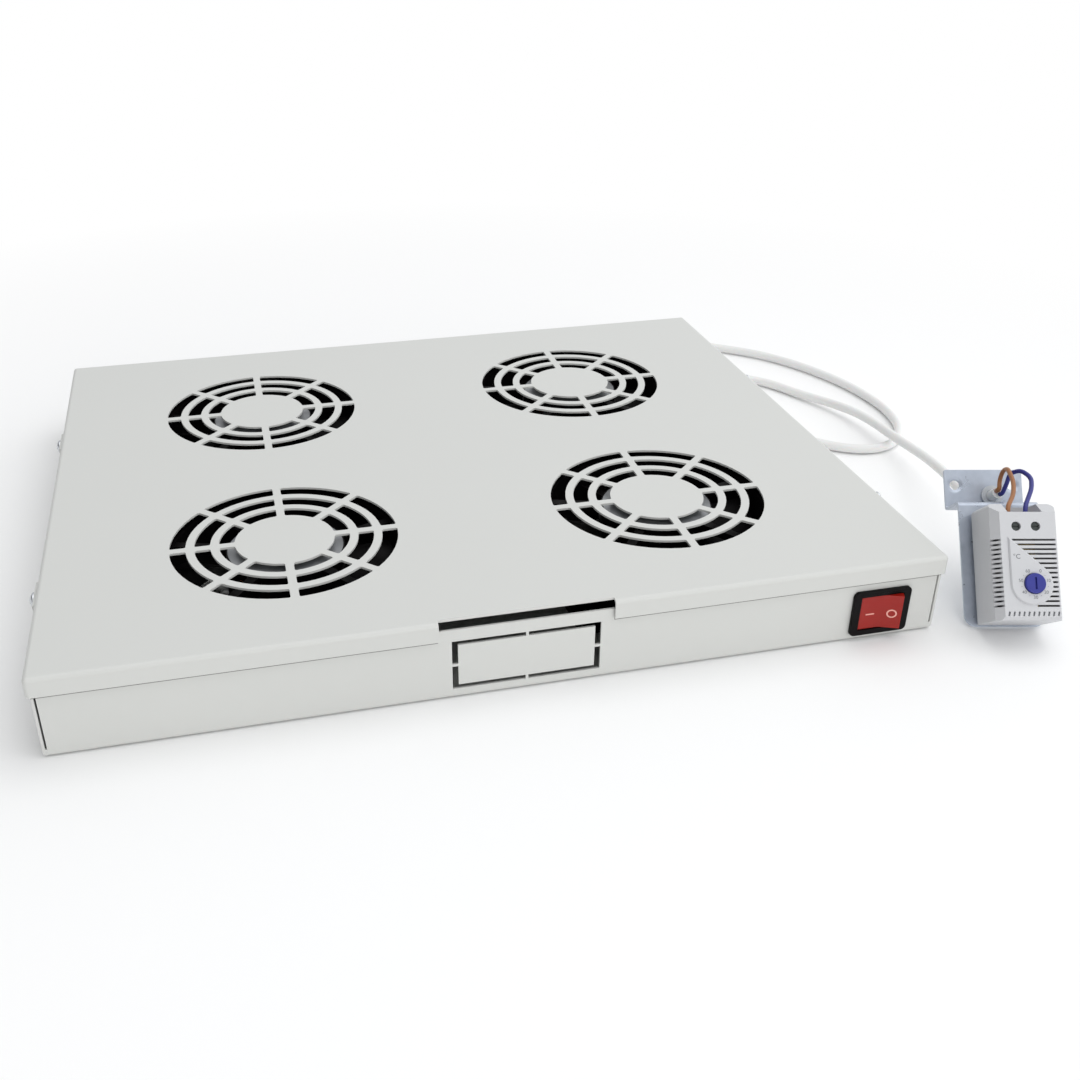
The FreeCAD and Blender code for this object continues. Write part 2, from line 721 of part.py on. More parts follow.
def blade(root_radius, tip_radius):
    """One blade: lens-shaped sections from root to tip, lofted straight."""
    middle_height = (size("rotor_bottom") + size("rotor_top")) / 2
    sections = []
    for radius, chord, pitch in ((root_radius, size("blade_chord_root"), size("blade_pitch_root")),
                                 (tip_radius, size("blade_chord_tip"), size("blade_pitch_tip"))):
        along = V(0, math.cos(math.radians(pitch)), math.sin(math.radians(pitch)))
        across = V(0, -along.z, along.y)
        middle = V(radius, 0, middle_height)
        ends = (middle - along * chord / 2, middle + along * chord / 2)
        high = middle + across * (size("blade_camber") + size("blade_thickness"))
        low = middle + across * size("blade_camber")
        sections.append(Part.Wire([Part.Arc(ends[0], high, ends[1]).toShape(),
                                   Part.Arc(ends[1], low, ends[0]).toShape()]))
    return Part.makeLoft(sections, True, True)


def rotor_master():
    """Cup-shaped rotor with its blades, open at the top around the stator."""
    bottom = size("rotor_bottom")
    tall = size("rotor_top") - bottom
    outer = size("rotor_radius")
    wall = size("rotor_wall")
    cup = Part.makeCylinder(outer, tall, V(0, 0, bottom))
    edge = [e for e in cup.Edges if e.BoundBox.ZMax < bottom + 0.01 and e.BoundBox.XLength > outer]
    cup = cup.makeFillet(wall * 0.6, edge)
    cup = cup.cut(Part.makeCylinder(outer - wall, tall, V(0, 0, bottom + wall)))
    cup = cup.cut(Part.makeCylinder(size("shaft_radius"), tall, V(0, 0, bottom - 1)))
    tip = size("fan_bore") - size("blade_tip_gap")
    trim = Part.makeCylinder(tip, size("fan_depth"))
    first = blade(outer - wall * 0.8, tip + 1.5).common(trim)
    whole = cup
    for number in range(int(size("blade_count"))):
        one = first.copy()
        one.rotate(V(), V(0, 0, 1), 360 / size("blade_count") * number)
        whole = whole.fuse(one)
    return solid("RotorMaster", whole.removeSplitter())


def fans():
    frame = fan_frame_master()
    stator = stator_master()
    rotor = rotor_master()
    shaft = rod("ShaftMaster", "shaft_radius", "fan_depth - hub_inset - 3 - rotor_bottom", ("0", "0", "rotor_bottom"))
    label = rod("LabelMaster", "label_radius", "label_thickness", ("0", "0", "fan_depth - hub_inset"))
    labels = []
    for fan, at in FAN_PLACES.items():
        spot = at + ("sheet",)
        node(f"fan_frame_{fan}", copy_at(f"Frame{fan}", frame, spot))
        node(f"fan_stator_{fan}", copy_at(f"Stator{fan}", stator, spot))
        node(f"fan_rotor_{fan}", copy_at(f"Rotor{fan}", rotor, spot))
        node(f"fan_shaft_{fan}", copy_at(f"Shaft{fan}", shaft, spot))
        labels.append(copy_at(f"Label{fan}", label, spot))
    node("hub_plates", group("HubPlates", labels))


# ---------------------------------------------------------------- rocker switch

SWITCH_Y = f"-({WALL_Y})"
PIVOT_Y = f"{SWITCH_Y} - bezel_thickness + rocker_recess + rocker_face"


def rocker_switch():
    bezel = block("Bezel", ("bezel_width", "bezel_thickness", "bezel_height"),
                  ("switch_offset - bezel_width / 2", f"{SWITCH_Y} - bezel_thickness",
                   "switch_middle - bezel_height / 2"))
    bezel = rounded("BezelSoft", bezel, size("bezel_corner"), along_y)
    body = block("SwitchBody", ("switch_body_width", "switch_body_depth", "switch_body_height"),
                 ("switch_offset - switch_body_width / 2", SWITCH_Y, "switch_middle - switch_body_height / 2"))
    window = block("RockerWindow", ("2 * (rocker_radius + rocker_clearance)", "cavity_depth + bezel_thickness + 1",
                                    "rocker_height + 2 * rocker_clearance"),
                   ("switch_offset - rocker_radius - rocker_clearance", f"{SWITCH_Y} - bezel_thickness - 1",
                    "switch_middle - rocker_height / 2 - rocker_clearance"))
    pin_length = "rocker_height + 2 * (rocker_clearance + rocker_pin_length + 0.1)"
    pin_hole = rod("PinHole", "rocker_pin + running_clearance", pin_length,
                   ("switch_offset", PIVOT_Y, f"switch_middle - ({pin_length}) / 2"))
    tab_slots = [switch_tab(f"SlotFor{number}", number, "thread_fit") for number in range(4)]
    node("switch_housing", cut("SwitchHousing", fuse("SwitchBlank", [bezel, body]), window, pin_hole, *tab_slots))

    radius = size("rocker_radius")
    face = size("rocker_face")
    slope = math.tan(math.radians(size("rocker_throw")))
    # the raised face meets the round side where x^2 + (face + slope x)^2 = radius^2
    a = 1 + slope ** 2
    b = 2 * face * slope
    c = face ** 2 - radius ** 2
    right_x = (-b + math.sqrt(b ** 2 - 4 * a * c)) / (2 * a)
    right = V(right_x, -face - slope * right_x, 0)
    left = V(-math.sqrt(radius ** 2 - face ** 2), -face, 0)
    back = size("rocker_back")
    back_x = math.sqrt(radius ** 2 - back ** 2)
    outline = Part.Wire([
        Part.LineSegment(left, V(0, -face, 0)).toShape(),
        Part.LineSegment(V(0, -face, 0), right).toShape(),
        Part.Arc(right, V(radius, 0, 0), V(back_x, back, 0)).toShape(),
        Part.LineSegment(V(back_x, back, 0), V(-back_x, back, 0)).toShape(),
        Part.Arc(V(-back_x, back, 0), V(-radius, 0, 0), left).toShape()])
    tall = size("rocker_height")
    key = Part.Face(outline).extrude(V(0, 0, tall))
    key.translate(V(0, 0, -tall / 2))
    pin = size("rocker_clearance") + size("rocker_pin_length")
    key = key.fuse(Part.makeCylinder(size("rocker_pin"), tall + 2 * pin, V(0, 0, -tall / 2 - pin)))
    rocker = solid("Rocker", key.removeSplitter())
    rocker.Placement = FreeCAD.Placement()
    place(rocker, ("switch_offset", PIVOT_Y, "switch_middle"))
    node("switch_rocker", rocker)
    node("switch_terminals", group("SwitchTerminals", [switch_tab(f"SwitchTab{number}", number, "0")
                                                       for number in range(4)]))


def switch_tab(name, number, extra):
    """One flat terminal through the back of the housing; extra widens it all round."""
    side = -1 if number % 2 else 1
    level = -1 if number < 2 else 1
    inside = "(switch_body_depth - cavity_depth) / 2"
    return block(name, (f"tab_width + 2 * {extra}", f"tab_length + {inside} + 2 * {extra}",
                        f"tab_thickness + 2 * {extra}"),
                 (f"switch_offset + {side} * switch_tab_across / 2 - tab_width / 2 - {extra}",
                  f"{SWITCH_Y} + switch_body_depth - {inside} - {extra}",
                  f"switch_middle + {level} * switch_tab_up / 2 - tab_thickness / 2 - {extra}"))


# ---------------------------------------------------------------- mains inlet, gland, terminal block

BACK_Y = WALL_Y


def mains_inlet():
    flange = block("InletFlange", ("inlet_flange_width", "inlet_flange_thickness", "inlet_flange_height"),
                   ("inlet_offset - inlet_flange_width / 2", BACK_Y, "inlet_middle - inlet_flange_height / 2"))
    flange = rounded("InletFlangeSoft", flange, size("inlet_corner"), along_y)
    body = block("InletBody", ("inlet_body_width", "inlet_body_depth", "inlet_body_height"),
                 ("inlet_offset - inlet_body_width / 2", f"{BACK_Y} - inlet_body_depth",
                  "inlet_middle - inlet_body_height / 2"))
    socket = block("InletSocket", ("inlet_socket_width", "inlet_socket_depth + 1", "inlet_socket_height"),
                   ("inlet_offset - inlet_socket_width / 2",
                    f"{BACK_Y} + inlet_flange_thickness - inlet_socket_depth",
                    "inlet_middle - inlet_socket_height / 2"))
    low = size("inlet_middle") - size("inlet_socket_height") / 2
    socket = rounded("InletSocketSoft", socket, 4.0,
                     lambda way, box: along_y(way, box) and box.ZMin > low + 1)
    tools = [socket]
    screws = []
    nuts = []
    screw = inlet_screw()
    nut = hex_nut("InletNut", "inlet_nut_width", "inlet_nut_height", "inlet_screw_radius + thread_fit")
    for sign in (-1, 1):
        across = f"inlet_offset + {sign} * inlet_screw_pitch / 2"
        outside = f"{BACK_Y} + inlet_flange_thickness"
        tools.append(rod(f"EarHole{sign}", "inlet_screw_radius + screw_clearance", "10",
                         (across, f"{BACK_Y} - 2", "inlet_middle"), "Y"))
        tools.append(taper(f"EarSink{sign}", "inlet_screw_radius + screw_clearance",
                           "inlet_head_radius + screw_clearance", "inlet_head_height",
                           (across, f"{outside} - inlet_head_height", "inlet_middle"), "Y"))
        screws.append(copy_at(f"InletScrew{sign}", screw, (across, outside, "inlet_middle"), "Y"))
        nuts.append(copy_at(f"InletNut{sign}", nut, (across, f"{BACK_Y} - sheet", "inlet_middle"), "-Y"))
    tools += [inlet_pin(f"PinSlot{number}", number, "thread_fit") for number in range(3)]
    node("mains_inlet", cut("MainsInlet", fuse("InletBlank", [flange, body]), *tools))
    node("inlet_pins", group("InletPins", [inlet_pin(f"InletPin{number}", number, "0") for number in range(3)]))
    node("inlet_screws", group("InletScrews", screws))
    node("inlet_nuts", group("InletNuts", nuts))


def inlet_screw():
    """Countersunk screw, head flush with z = 0, shank downwards."""
    head = taper("SunkHead", "inlet_screw_radius", "inlet_head_radius", "inlet_head_height",
                 ("0", "0", "-inlet_head_height"))
    shank = rod("SunkShank", "inlet_screw_radius", "inlet_screw_length", ("0", "0", "-inlet_screw_length"))
    recess = [block(f"SunkRecess{way}", extent, at) for way, extent, at in (
        ("Across", ("3", "0.7", "2"), ("-1.5", "-0.35", "-1")),
        ("Along", ("0.7", "3", "2"), ("-0.35", "-1.5", "-1")))]
    return cut("SunkMaster", fuse("SunkBlank", [head, shank]), *recess)


def inlet_pin(name, number, extra):
    """One contact blade: the earth is the middle one and sits higher."""
    rise = "inlet_earth_rise / 2" if number == 1 else "-inlet_earth_rise / 2"
    inside = "inlet_flange_thickness - inlet_socket_depth + inlet_pin_length"
    tail = "tab_length"
    back = f"{BACK_Y} - inlet_body_depth - {tail}"
    return block(name, (f"inlet_pin_thickness + 2 * {extra}", f"{inside} + inlet_body_depth + {tail} + {extra}",
                        f"inlet_pin_width + 2 * {extra}"),
                 (f"inlet_offset + {number - 1} * inlet_pin_pitch - inlet_pin_thickness / 2 - {extra}",
                  f"{back} - {extra}", f"inlet_middle + {rise} - inlet_pin_width / 2 - {extra}"))


def cord_gland():
    """Domed gland screwed through the back wall, with its nut inside."""
    flange = hexagon("GlandHex", "2 * gland_flange_radius", "gland_flange_thickness",
                     ("gland_offset", BACK_Y, "gland_middle"), "Y")
    thread = rod("GlandThread", "gland_thread_radius", "gland_thread_length",
                 ("gland_offset", BACK_Y, "gland_middle"), "-Y")
    dome = taper("GlandDome", "gland_dome_radius", "gland_tip_radius", "gland_dome_length",
                 ("gland_offset", f"{BACK_Y} + gland_flange_thickness", "gland_middle"), "Y")
    bore = rod("GlandBore", "cord_radius + cord_clearance", "60",
               ("gland_offset", f"{BACK_Y} - 30", "gland_middle"), "Y")
    node("cord_gland", cut("CordGland", fuse("GlandBlank", [flange, thread, dome]), bore))
    prism = hexagon("GlandNutPrism", "gland_nut_width", "gland_nut_height",
                    ("gland_offset", f"{BACK_Y} - sheet", "gland_middle"), "-Y")
    ring = rod("GlandNutBore", "gland_thread_radius + thread_fit", "60",
               ("gland_offset", f"{BACK_Y} - 30", "gland_middle"), "Y")
    node("gland_nut", cut("GlandNut", prism, ring))


BLOCK_HOLES = [("block_offset", "grille_shift - block_length / 2 + 4"),
               ("block_offset", "grille_shift + block_length / 2 - 4")]


def pole_y(pole):
    return f"grille_shift + ({pole} - (block_poles - 1) / 2) * block_pole_pitch * 0.86"


def terminal_block():
    """Screw terminal strip on the floor beside the fans."""
    body = block("BlockBody", ("block_width", "block_length", "block_height"),
                 ("block_offset - block_width / 2", "grille_shift - block_length / 2", "sheet"))
    body = rounded("BlockSoft", body, 1.0, along_z)
    tools = []
    screws = []
    for pole in range(int(size("block_poles"))):
        tools.append(rod(f"PoleBore{pole}", "block_bore", "block_width + 2",
                         ("block_offset - block_width / 2 - 1", pole_y(pole), "sheet + block_height * 0.4"), "X"))
        for side in (-1, 1):
            spot = (f"block_offset + {side} * block_width / 4", pole_y(pole))
            tools.append(rod(f"PoleWell{pole}{side}", "block_screw_well", "block_height",
                             spot + ("sheet + block_height * 0.4",)))
            screws.append(rod(f"PoleScrew{pole}{side}", "block_screw_radius", "block_height * 0.4",
                              spot + ("sheet + block_height * 0.4 + block_bore",)))
    for spot, hole in enumerate(BLOCK_HOLES):
        tools.append(rod(f"BlockFixHole{spot}", "machine_screw_radius + thread_fit", "block_height + 2",
                         hole + ("sheet - 1",)))
    node("terminal_block", cut("TerminalBlock", body, *tools))
    node("terminal_screws", group("TerminalScrews", screws))
    rivets = [fuse(f"BlockRivet{spot}", [
        rod(f"RivetStem{spot}", "machine_screw_radius", "sheet + block_height", hole + ("0",)),
        rod(f"RivetHead{spot}", "pan_head_radius - 0.6", "1", hole + ("sheet + block_height",))])
        for spot, hole in enumerate(BLOCK_HOLES)]
    node("block_rivets", group("BlockRivets", rivets))


def at_block(pole, side):
    """Mouth of a terminal: side -1 faces the fans, 1 faces the side wall."""
    y = size("grille_shift") + (pole - (size("block_poles") - 1) / 2) * size("block_pole_pitch") * 0.86
    return V(size("block_offset") + side * size("block_width") / 2, y, size("sheet") + size("block_height") * 0.4)


def wiring():
    """Leads of the fans, the switch and the inlet, laid on the tray's floor."""
    radius = size("lead_radius")
    lay = size("sheet") + radius + 0.3
    half_fan = size("fan_width") / 2
    leads = []
    for row, (sx, sy) in enumerate(STUD_SIGNS):
        for wire in (0, 1):
            lane = (0.5 + (sx < 0) + 2 * wire) * size("lead_spacing") / 2 + 1
            fan_x = sx * size("grille_across") / 2
            fan_edge = size("grille_shift") + sy * (size("grille_along") / 2 - half_fan)
            start_x = fan_x + 30 + wire * size("lead_spacing")
            pole = 2 + wire if sy < 0 else 4 - 2 * wire
            mouth = at_block(pole, -1)
            reach = size("grille_shift") + sy * (lane + size("lead_spacing"))
            points = [V(start_x, fan_edge, lay + 10), V(start_x, fan_edge - sy * 5, lay + 7),
                      V(start_x + 4, reach + sy * 3.5, lay), V(start_x + 14, reach, lay),
                      V(mouth.x - 22, reach + (mouth.y - reach) * 0.1, lay),
                      V(mouth.x - 9, mouth.y, mouth.z - 0.5), mouth]
            leads.append(tube_along(points, radius))
    node("fan_leads", solid("FanLeads", Part.makeCompound(leads)))

    pairs = []
    back = -(size("tray_depth") / 2 - size("sheet") - size("cover_gap")) + size("switch_body_depth")
    for number, pole in ((0, 0), (1, 1)):
        side = -1 if number else 1
        tab_x = size("switch_offset") + side * size("switch_tab_across") / 2
        tab_z = size("switch_middle") - size("switch_tab_up") / 2
        mouth = at_block(pole, 1)
        wall = mouth.x + 9 - 3.2 * number
        points = [V(tab_x, back + size("tab_length"), tab_z), V(tab_x, back + 22, tab_z),
                  V(wall - 2, back + 60, lay), V(wall, mouth.y - 14, lay + 1),
                  V(wall - 2, mouth.y - 3, mouth.z - 1), V(mouth.x + 3, mouth.y, mouth.z), mouth]
        pairs.append(tube_along(points, radius))
    node("switch_leads", solid("SwitchLeads", Part.makeCompound(pairs)))

    feeds = []
    tail_y = size("tray_depth") / 2 - size("sheet") - size("cover_gap") - size("inlet_body_depth") - size("tab_length")
    for number, pole, lane in ((0, 2, 12.4), (2, 3, 9.8)):
        pin_x = size("inlet_offset") + (number - 1) * size("inlet_pin_pitch")
        pin_z = size("inlet_middle") - size("inlet_earth_rise") / 2
        mouth = at_block(pole, 1)
        wall = mouth.x + lane
        lane_y = tail_y - 22 + 2.5 * lane
        points = [V(pin_x, tail_y, pin_z), V(pin_x, tail_y - 7, pin_z), V(pin_x + 12, lane_y, lay + 2),
                  V(pin_x + 40, lane_y, lay), V(wall - 16, lane_y - 2, lay), V(wall, lane_y - 24, lay),
                  V(wall, mouth.y + 16, lay), V(wall - 3, mouth.y + 4, mouth.z - 2),
                  V(mouth.x + 4, mouth.y, mouth.z), mouth]
        feeds.append(tube_along(points, radius))
    node("inlet_leads", solid("InletLeads", Part.makeCompound(feeds)))


# ---------------------------------------------------------------- thermostat on its bracket

def stand():
    """Where the upright bracket's lower edge stands, turned and leaned back onto the floor."""
    turn = FreeCAD.Rotation(V(0, 0, 1), size("stand_turn"))
    lean = FreeCAD.Rotation(V(1, 0, 0), size("stand_lean"))
    rotation = turn.multiply(lean)
    lowest = rotation.multVec(V(0, size("plate_thickness"), 0)).z
    return FreeCAD.Placement(V(size("stand_across"), size("stand_along"), -lowest), rotation)


STAND = stand()


def thermostat_bracket():
    """Bent strip: plate, shelf to the back and an upright flag with two fixing holes."""
    thick = size("plate_thickness")
    bend = size("bracket_bend")
    plate_top = size("plate_height")
    shelf = size("shelf_depth")
    flag_top = plate_top + size("flag_height")
    profile = [V(0, 0, 0), V(0, 0, plate_top), V(0, shelf - thick, plate_top), V(0, shelf - thick, flag_top),
               V(0, shelf, flag_top), V(0, shelf, plate_top - thick), V(0, thick, plate_top - thick), V(0, thick, 0)]
    strip = Part.Face(Part.makePolygon(profile + [profile[0]])).extrude(V(size("plate_width"), 0, 0))
    strip.translate(V(-size("plate_width") / 2, 0, 0))
    outer_bends = [e for e in strip.Edges if e.Length > size("plate_width") - 0.01
                   and any(e.BoundBox.Center.isEqual(V(0, y, z), 0.01)
                           for y, z in ((0, plate_top), (shelf, plate_top - thick)))]
    strip = strip.makeFillet(bend, outer_bends)
    inner_bends = [e for e in strip.Edges if e.Length > size("plate_width") - 0.01
                   and any(e.BoundBox.Center.isEqual(V(0, y, z), 0.01)
                           for y, z in ((thick, plate_top - thick), (shelf - thick, plate_top)))]
    strip = strip.makeFillet(bend - thick, inner_bends)
    bottom = [e for e in strip.Edges if e.BoundBox.ZMax < 0.01 and e.BoundBox.XLength < 0.01]
    strip = strip.makeFillet(size("plate_corner"), bottom)
    top = [e for e in strip.Edges if e.BoundBox.ZMin > flag_top - 0.01 and e.BoundBox.XLength < 0.01]
    strip = strip.makeFillet(size("flag_corner"), top)
    hole_z = plate_top + size("flag_hole_rise")
    for side in (-1, 1):
        centre = V(side * size("flag_hole_across") / 2, shelf - thick - 1, hole_z)
        strip = strip.cut(Part.makeCylinder(size("flag_hole_radius"), thick + 2, centre, V(0, 1, 0)))
        dimple = Part.makeCone(size("dimple_radius"), size("flag_hole_radius"), size("dimple_depth"),
                               V(centre.x, shelf - thick, hole_z), V(0, 1, 0))
        strip = strip.cut(dimple)
    bush = V(size("bush_across"), shelf - thick - 1, plate_top + size("bush_rise"))
    strip = strip.cut(Part.makeCylinder(size("bush_radius") + size("thread_fit"), thick + 2, bush, V(0, 1, 0)))
    for up in case_screw_heights():
        spot = V(size("case_shift"), -1, up)
        strip = strip.cut(Part.makeCylinder(size("inlet_screw_radius") + size("screw_clearance"), thick + 2,
                                            spot, V(0, 1, 0)))
    node("thermostat_bracket", solid("Bracket", strip), STAND)

    away = shelf
    inner = size("cord_radius") + size("cord_clearance")
    collar = Part.makeCylinder(size("bush_flange_radius"), size("bush_flange_thickness"),
                               V(bush.x, shelf - thick - size("bush_flange_thickness"), bush.z), V(0, 1, 0))
    barrel = Part.makeCylinder(size("bush_radius"), thick + size("bush_length"),
                               V(bush.x, shelf - thick, bush.z), V(0, 1, 0))
    hole = Part.makeCylinder(inner, 30, V(bush.x, away - 15, bush.z), V(0, 1, 0))
    node("cord_bush", solid("CordBush", collar.fuse(barrel).cut(hole).removeSplitter()), STAND)


def case_screw_heights():
    middle = size("case_rise") + size("case_height") / 2
    return (middle - size("case_screw_pitch") / 2, middle + size("case_screw_pitch") / 2)


def case_point(across, deep, up):
    """A point of the case: across from its left side, deep behind its front, up from its bottom."""
    front = -(size("case_foot") + size("case_depth"))
    return V(size("case_shift") - size("case_width") / 2 + across, front + deep, size("case_rise") + up)


def case_box(across, deep, up, wide, long, tall):
    return Part.makeBox(wide, long, tall, case_point(across, deep, up))


def case_blank():
    """Outer form of the whole case: sloped front edges, slanted lower front edge and soft corners."""
    wide = size("case_width")
    deep = size("case_depth")
    tall = size("case_height")
    blank = case_box(0, 0, 0, wide, deep, tall)
    uprights = [e for e in blank.Edges if e.BoundBox.ZLength > tall - 0.01
                and e.BoundBox.YMin > case_point(0, deep, 0).y - 0.01]
    blank = blank.makeFillet(1.0, uprights)
    slope_y = size("case_chamfer_depth")
    for corner, inward, slope_x in ((0, 1, size("case_chamfer_across")), (wide, -1, size("case_right_slope"))):
        wedge = Part.makePolygon([case_point(corner - inward, -1, -1), case_point(corner + inward * slope_x, -1, -1),
                                  case_point(corner + inward * slope_x, 0, -1),
                                  case_point(corner, slope_y, -1), case_point(corner - inward, slope_y, -1),
                                  case_point(corner - inward, -1, -1)])
        blank = blank.cut(Part.Face(wedge).extrude(V(0, 0, tall + 2)))
    low = size("case_bottom_chamfer")
    heel = Part.makePolygon([case_point(-1, -1, -1), case_point(-1, -1, low), case_point(-1, 0, low),
                             case_point(-1, low, 0), case_point(-1, low, -1), case_point(-1, -1, -1)])
    blank = blank.cut(Part.Face(heel).extrude(V(wide + 2, 0, 0)))
    brow = tall - size("brow_height")
    slant = Part.makePolygon([case_point(-1, -1, brow), case_point(-1, 0, brow),
                              case_point(-1, size("brow_depth"), tall), case_point(-1, size("brow_depth"), tall + 1),
                              case_point(-1, -1, tall + 1), case_point(-1, -1, brow)])
    blank = blank.cut(Part.Face(slant).extrude(V(wide + 2, 0, 0)))
    ears = [e for e in blank.Edges if e.BoundBox.ZMin > case_point(0, 0, tall).z - 0.01
            and e.BoundBox.XLength < 0.01]
    return blank.makeFillet(size("case_edge"), ears)


def panel_outline(depth, margin):
    """Teardrop round the dial: an upright left side, a slanting top side and a round foot, grown by margin."""
    middle = (size("panel_across"), size("panel_up"))
    radius = size("panel_radius") + margin
    left = middle[0] - radius
    top = size("panel_top") + 2 * margin
    # the slanting side is the tangent from the upper left corner to the foot's circle
    dx = left - middle[0]
    dz = top - middle[1]
    angle = math.asin(radius / math.hypot(dx, dz)) + math.atan2(-dx, dz)
    touch = (middle[0] + radius * math.cos(angle), middle[1] + radius * math.sin(angle))

    def at(across, up):
        return case_point(across, depth, up)

    return Part.Wire([
        Part.LineSegment(at(left, top), at(*touch)).toShape(),
        Part.Arc(at(*touch), at(middle[0], middle[1] - radius), at(left, middle[1])).toShape(),
        Part.LineSegment(at(left, middle[1]), at(left, top)).toShape()])


def teardrop(margin, proud, deep):
    """The panel's prism, grown by margin all round, from proud of the front to deep behind it."""
    return Part.Face(panel_outline(-proud, margin)).extrude(V(0, proud + deep, 0))


def vents(keep_clear):
    """Slots across the right of the front, across the sloped left edge and along the lower front edge."""
    cutters = []
    deep = size("case_wall") + size("case_chamfer_depth") + 1
    height = size("vent_height")
    for row in range(int(size("vent_count"))):
        middle = size("vent_first") + row * size("vent_pitch")
        up = middle - height / 2
        start = size("panel_left") + 2
        if middle < size("panel_up"):
            start = size("panel_across") + size("vent_low_start")
        cutters.append(case_box(start, -1, up, size("vent_right") - start, deep, height).cut(keep_clear))
        cutters.append(case_box(-1, -1, up, size("side_vent_reach") + 1, size("side_vent_length") + 1, height))
    for column in range(int(size("bottom_vent_count"))):
        across = size("bottom_vent_first") + column * size("bottom_vent_pitch")
        slot = case_box(across, -1, size("bottom_vent_up"), size("bottom_vent_width"),
                        size("bottom_vent_depth") + 1, size("bottom_vent_height"))
        slot.rotate(slot.BoundBox.Center, V(0, 1, 0), size("bottom_vent_tilt"))
        cutters.append(slot)
    return cutters


def front_inside():
    """Depth of the front wall's inner face behind the front."""
    return size("case_wall") * 2


def terminal_across(number):
    return size("terminal_first") + number * size("terminal_pitch")


def wire_across(number):
    """The wires come in a little to the left of their screws."""
    return terminal_across(number) - size("wire_shift") * (number + 1)


def thermostat_case():
    """Front shell with vents, wire well and panel, and the back shell with its feet."""
    wide = size("case_width")
    deep = size("case_depth")
    tall = size("case_height")
    wall = size("case_wall")
    split = deep - size("case_back_depth")
    blank = case_blank()
    hollow = case_box(wall, front_inside(), wall, wide - 2 * wall, split, size("well_floor") - 2 * wall)
    hollow = hollow.cut(case_box(0, 0, 0, wide, wall + size("case_chamfer_depth") + 0.6,
                                 size("case_bottom_chamfer") + wall))
    front = blank.common(case_box(-1, -1, -1, wide + 2, split + 1, tall + 2)).cut(hollow)
    left = size("well_left")
    right = size("well_right")
    floor = size("well_floor")
    lip = size("well_lip")
    front = front.cut(case_box(left, lip, floor, right - left, size("well_depth"), tall))
    brow = case_box(left, -1, tall - size("brow_height"), right - left, lip + 2, size("brow_height") + 1)
    front = front.cut(brow)
    panel = teardrop(0, size("panel_proud"), front_inside())
    face_y = panel.BoundBox.YMin
    rim = [e for e in panel.Edges if e.BoundBox.YMax < face_y + 0.01]
    front = front.fuse(panel.makeChamfer(size("panel_edge"), rim))
    keep_clear = teardrop(size("panel_margin"), 3, 12)
    for slot in vents(keep_clear):
        front = front.cut(slot)
    for number in (0, 1):
        spot = case_point(terminal_across(number), -1, size("terminal_height"))
        front = front.cut(Part.makeCylinder(size("terminal_well_radius"), front_inside() + 2, spot, V(0, 1, 0)))
        entry = case_point(wire_across(number), size("wire_deep"), size("well_floor") - 5)
        front = front.cut(Part.makeCylinder(size("core_radius") + 0.3, 6, entry, V(0, 0, 1)))
    dial = case_point(size("dial_across"), 0, size("dial_up"))
    pocket = Part.makeCylinder(size("dial_radius") + size("dial_clearance"), size("dial_recess") + 2,
                               dial - V(0, 2, 0), V(0, 1, 0))
    bore = Part.makeCylinder(size("dial_shaft_radius") + size("running_clearance"), 12, dial, V(0, 1, 0))
    front = front.cut(pocket).cut(bore)
    node("thermostat_front", solid("ThermostatFront", front.removeSplitter()), STAND)

    back = blank.common(case_box(-1, split, -1, wide + 2, deep, tall + 2))
    back = back.cut(case_box(wall, split - 1, wall, wide - 2 * wall, size("case_back_depth") - wall + 1,
                             size("well_floor") - 2 * wall))
    for up in case_screw_heights():
        foot = V(size("case_shift"), 0, up)
        back = back.fuse(Part.makeCylinder(size("case_foot_radius"), size("case_foot") + wall + 4, foot, V(0, -1, 0)))
        back = back.cut(Part.makeCylinder(size("inlet_screw_radius") + size("thread_fit"),
                                          size("case_foot") + wall + 3, foot, V(0, -1, 0)))
    node("thermostat_back", solid("ThermostatBack", back.removeSplitter()), STAND)


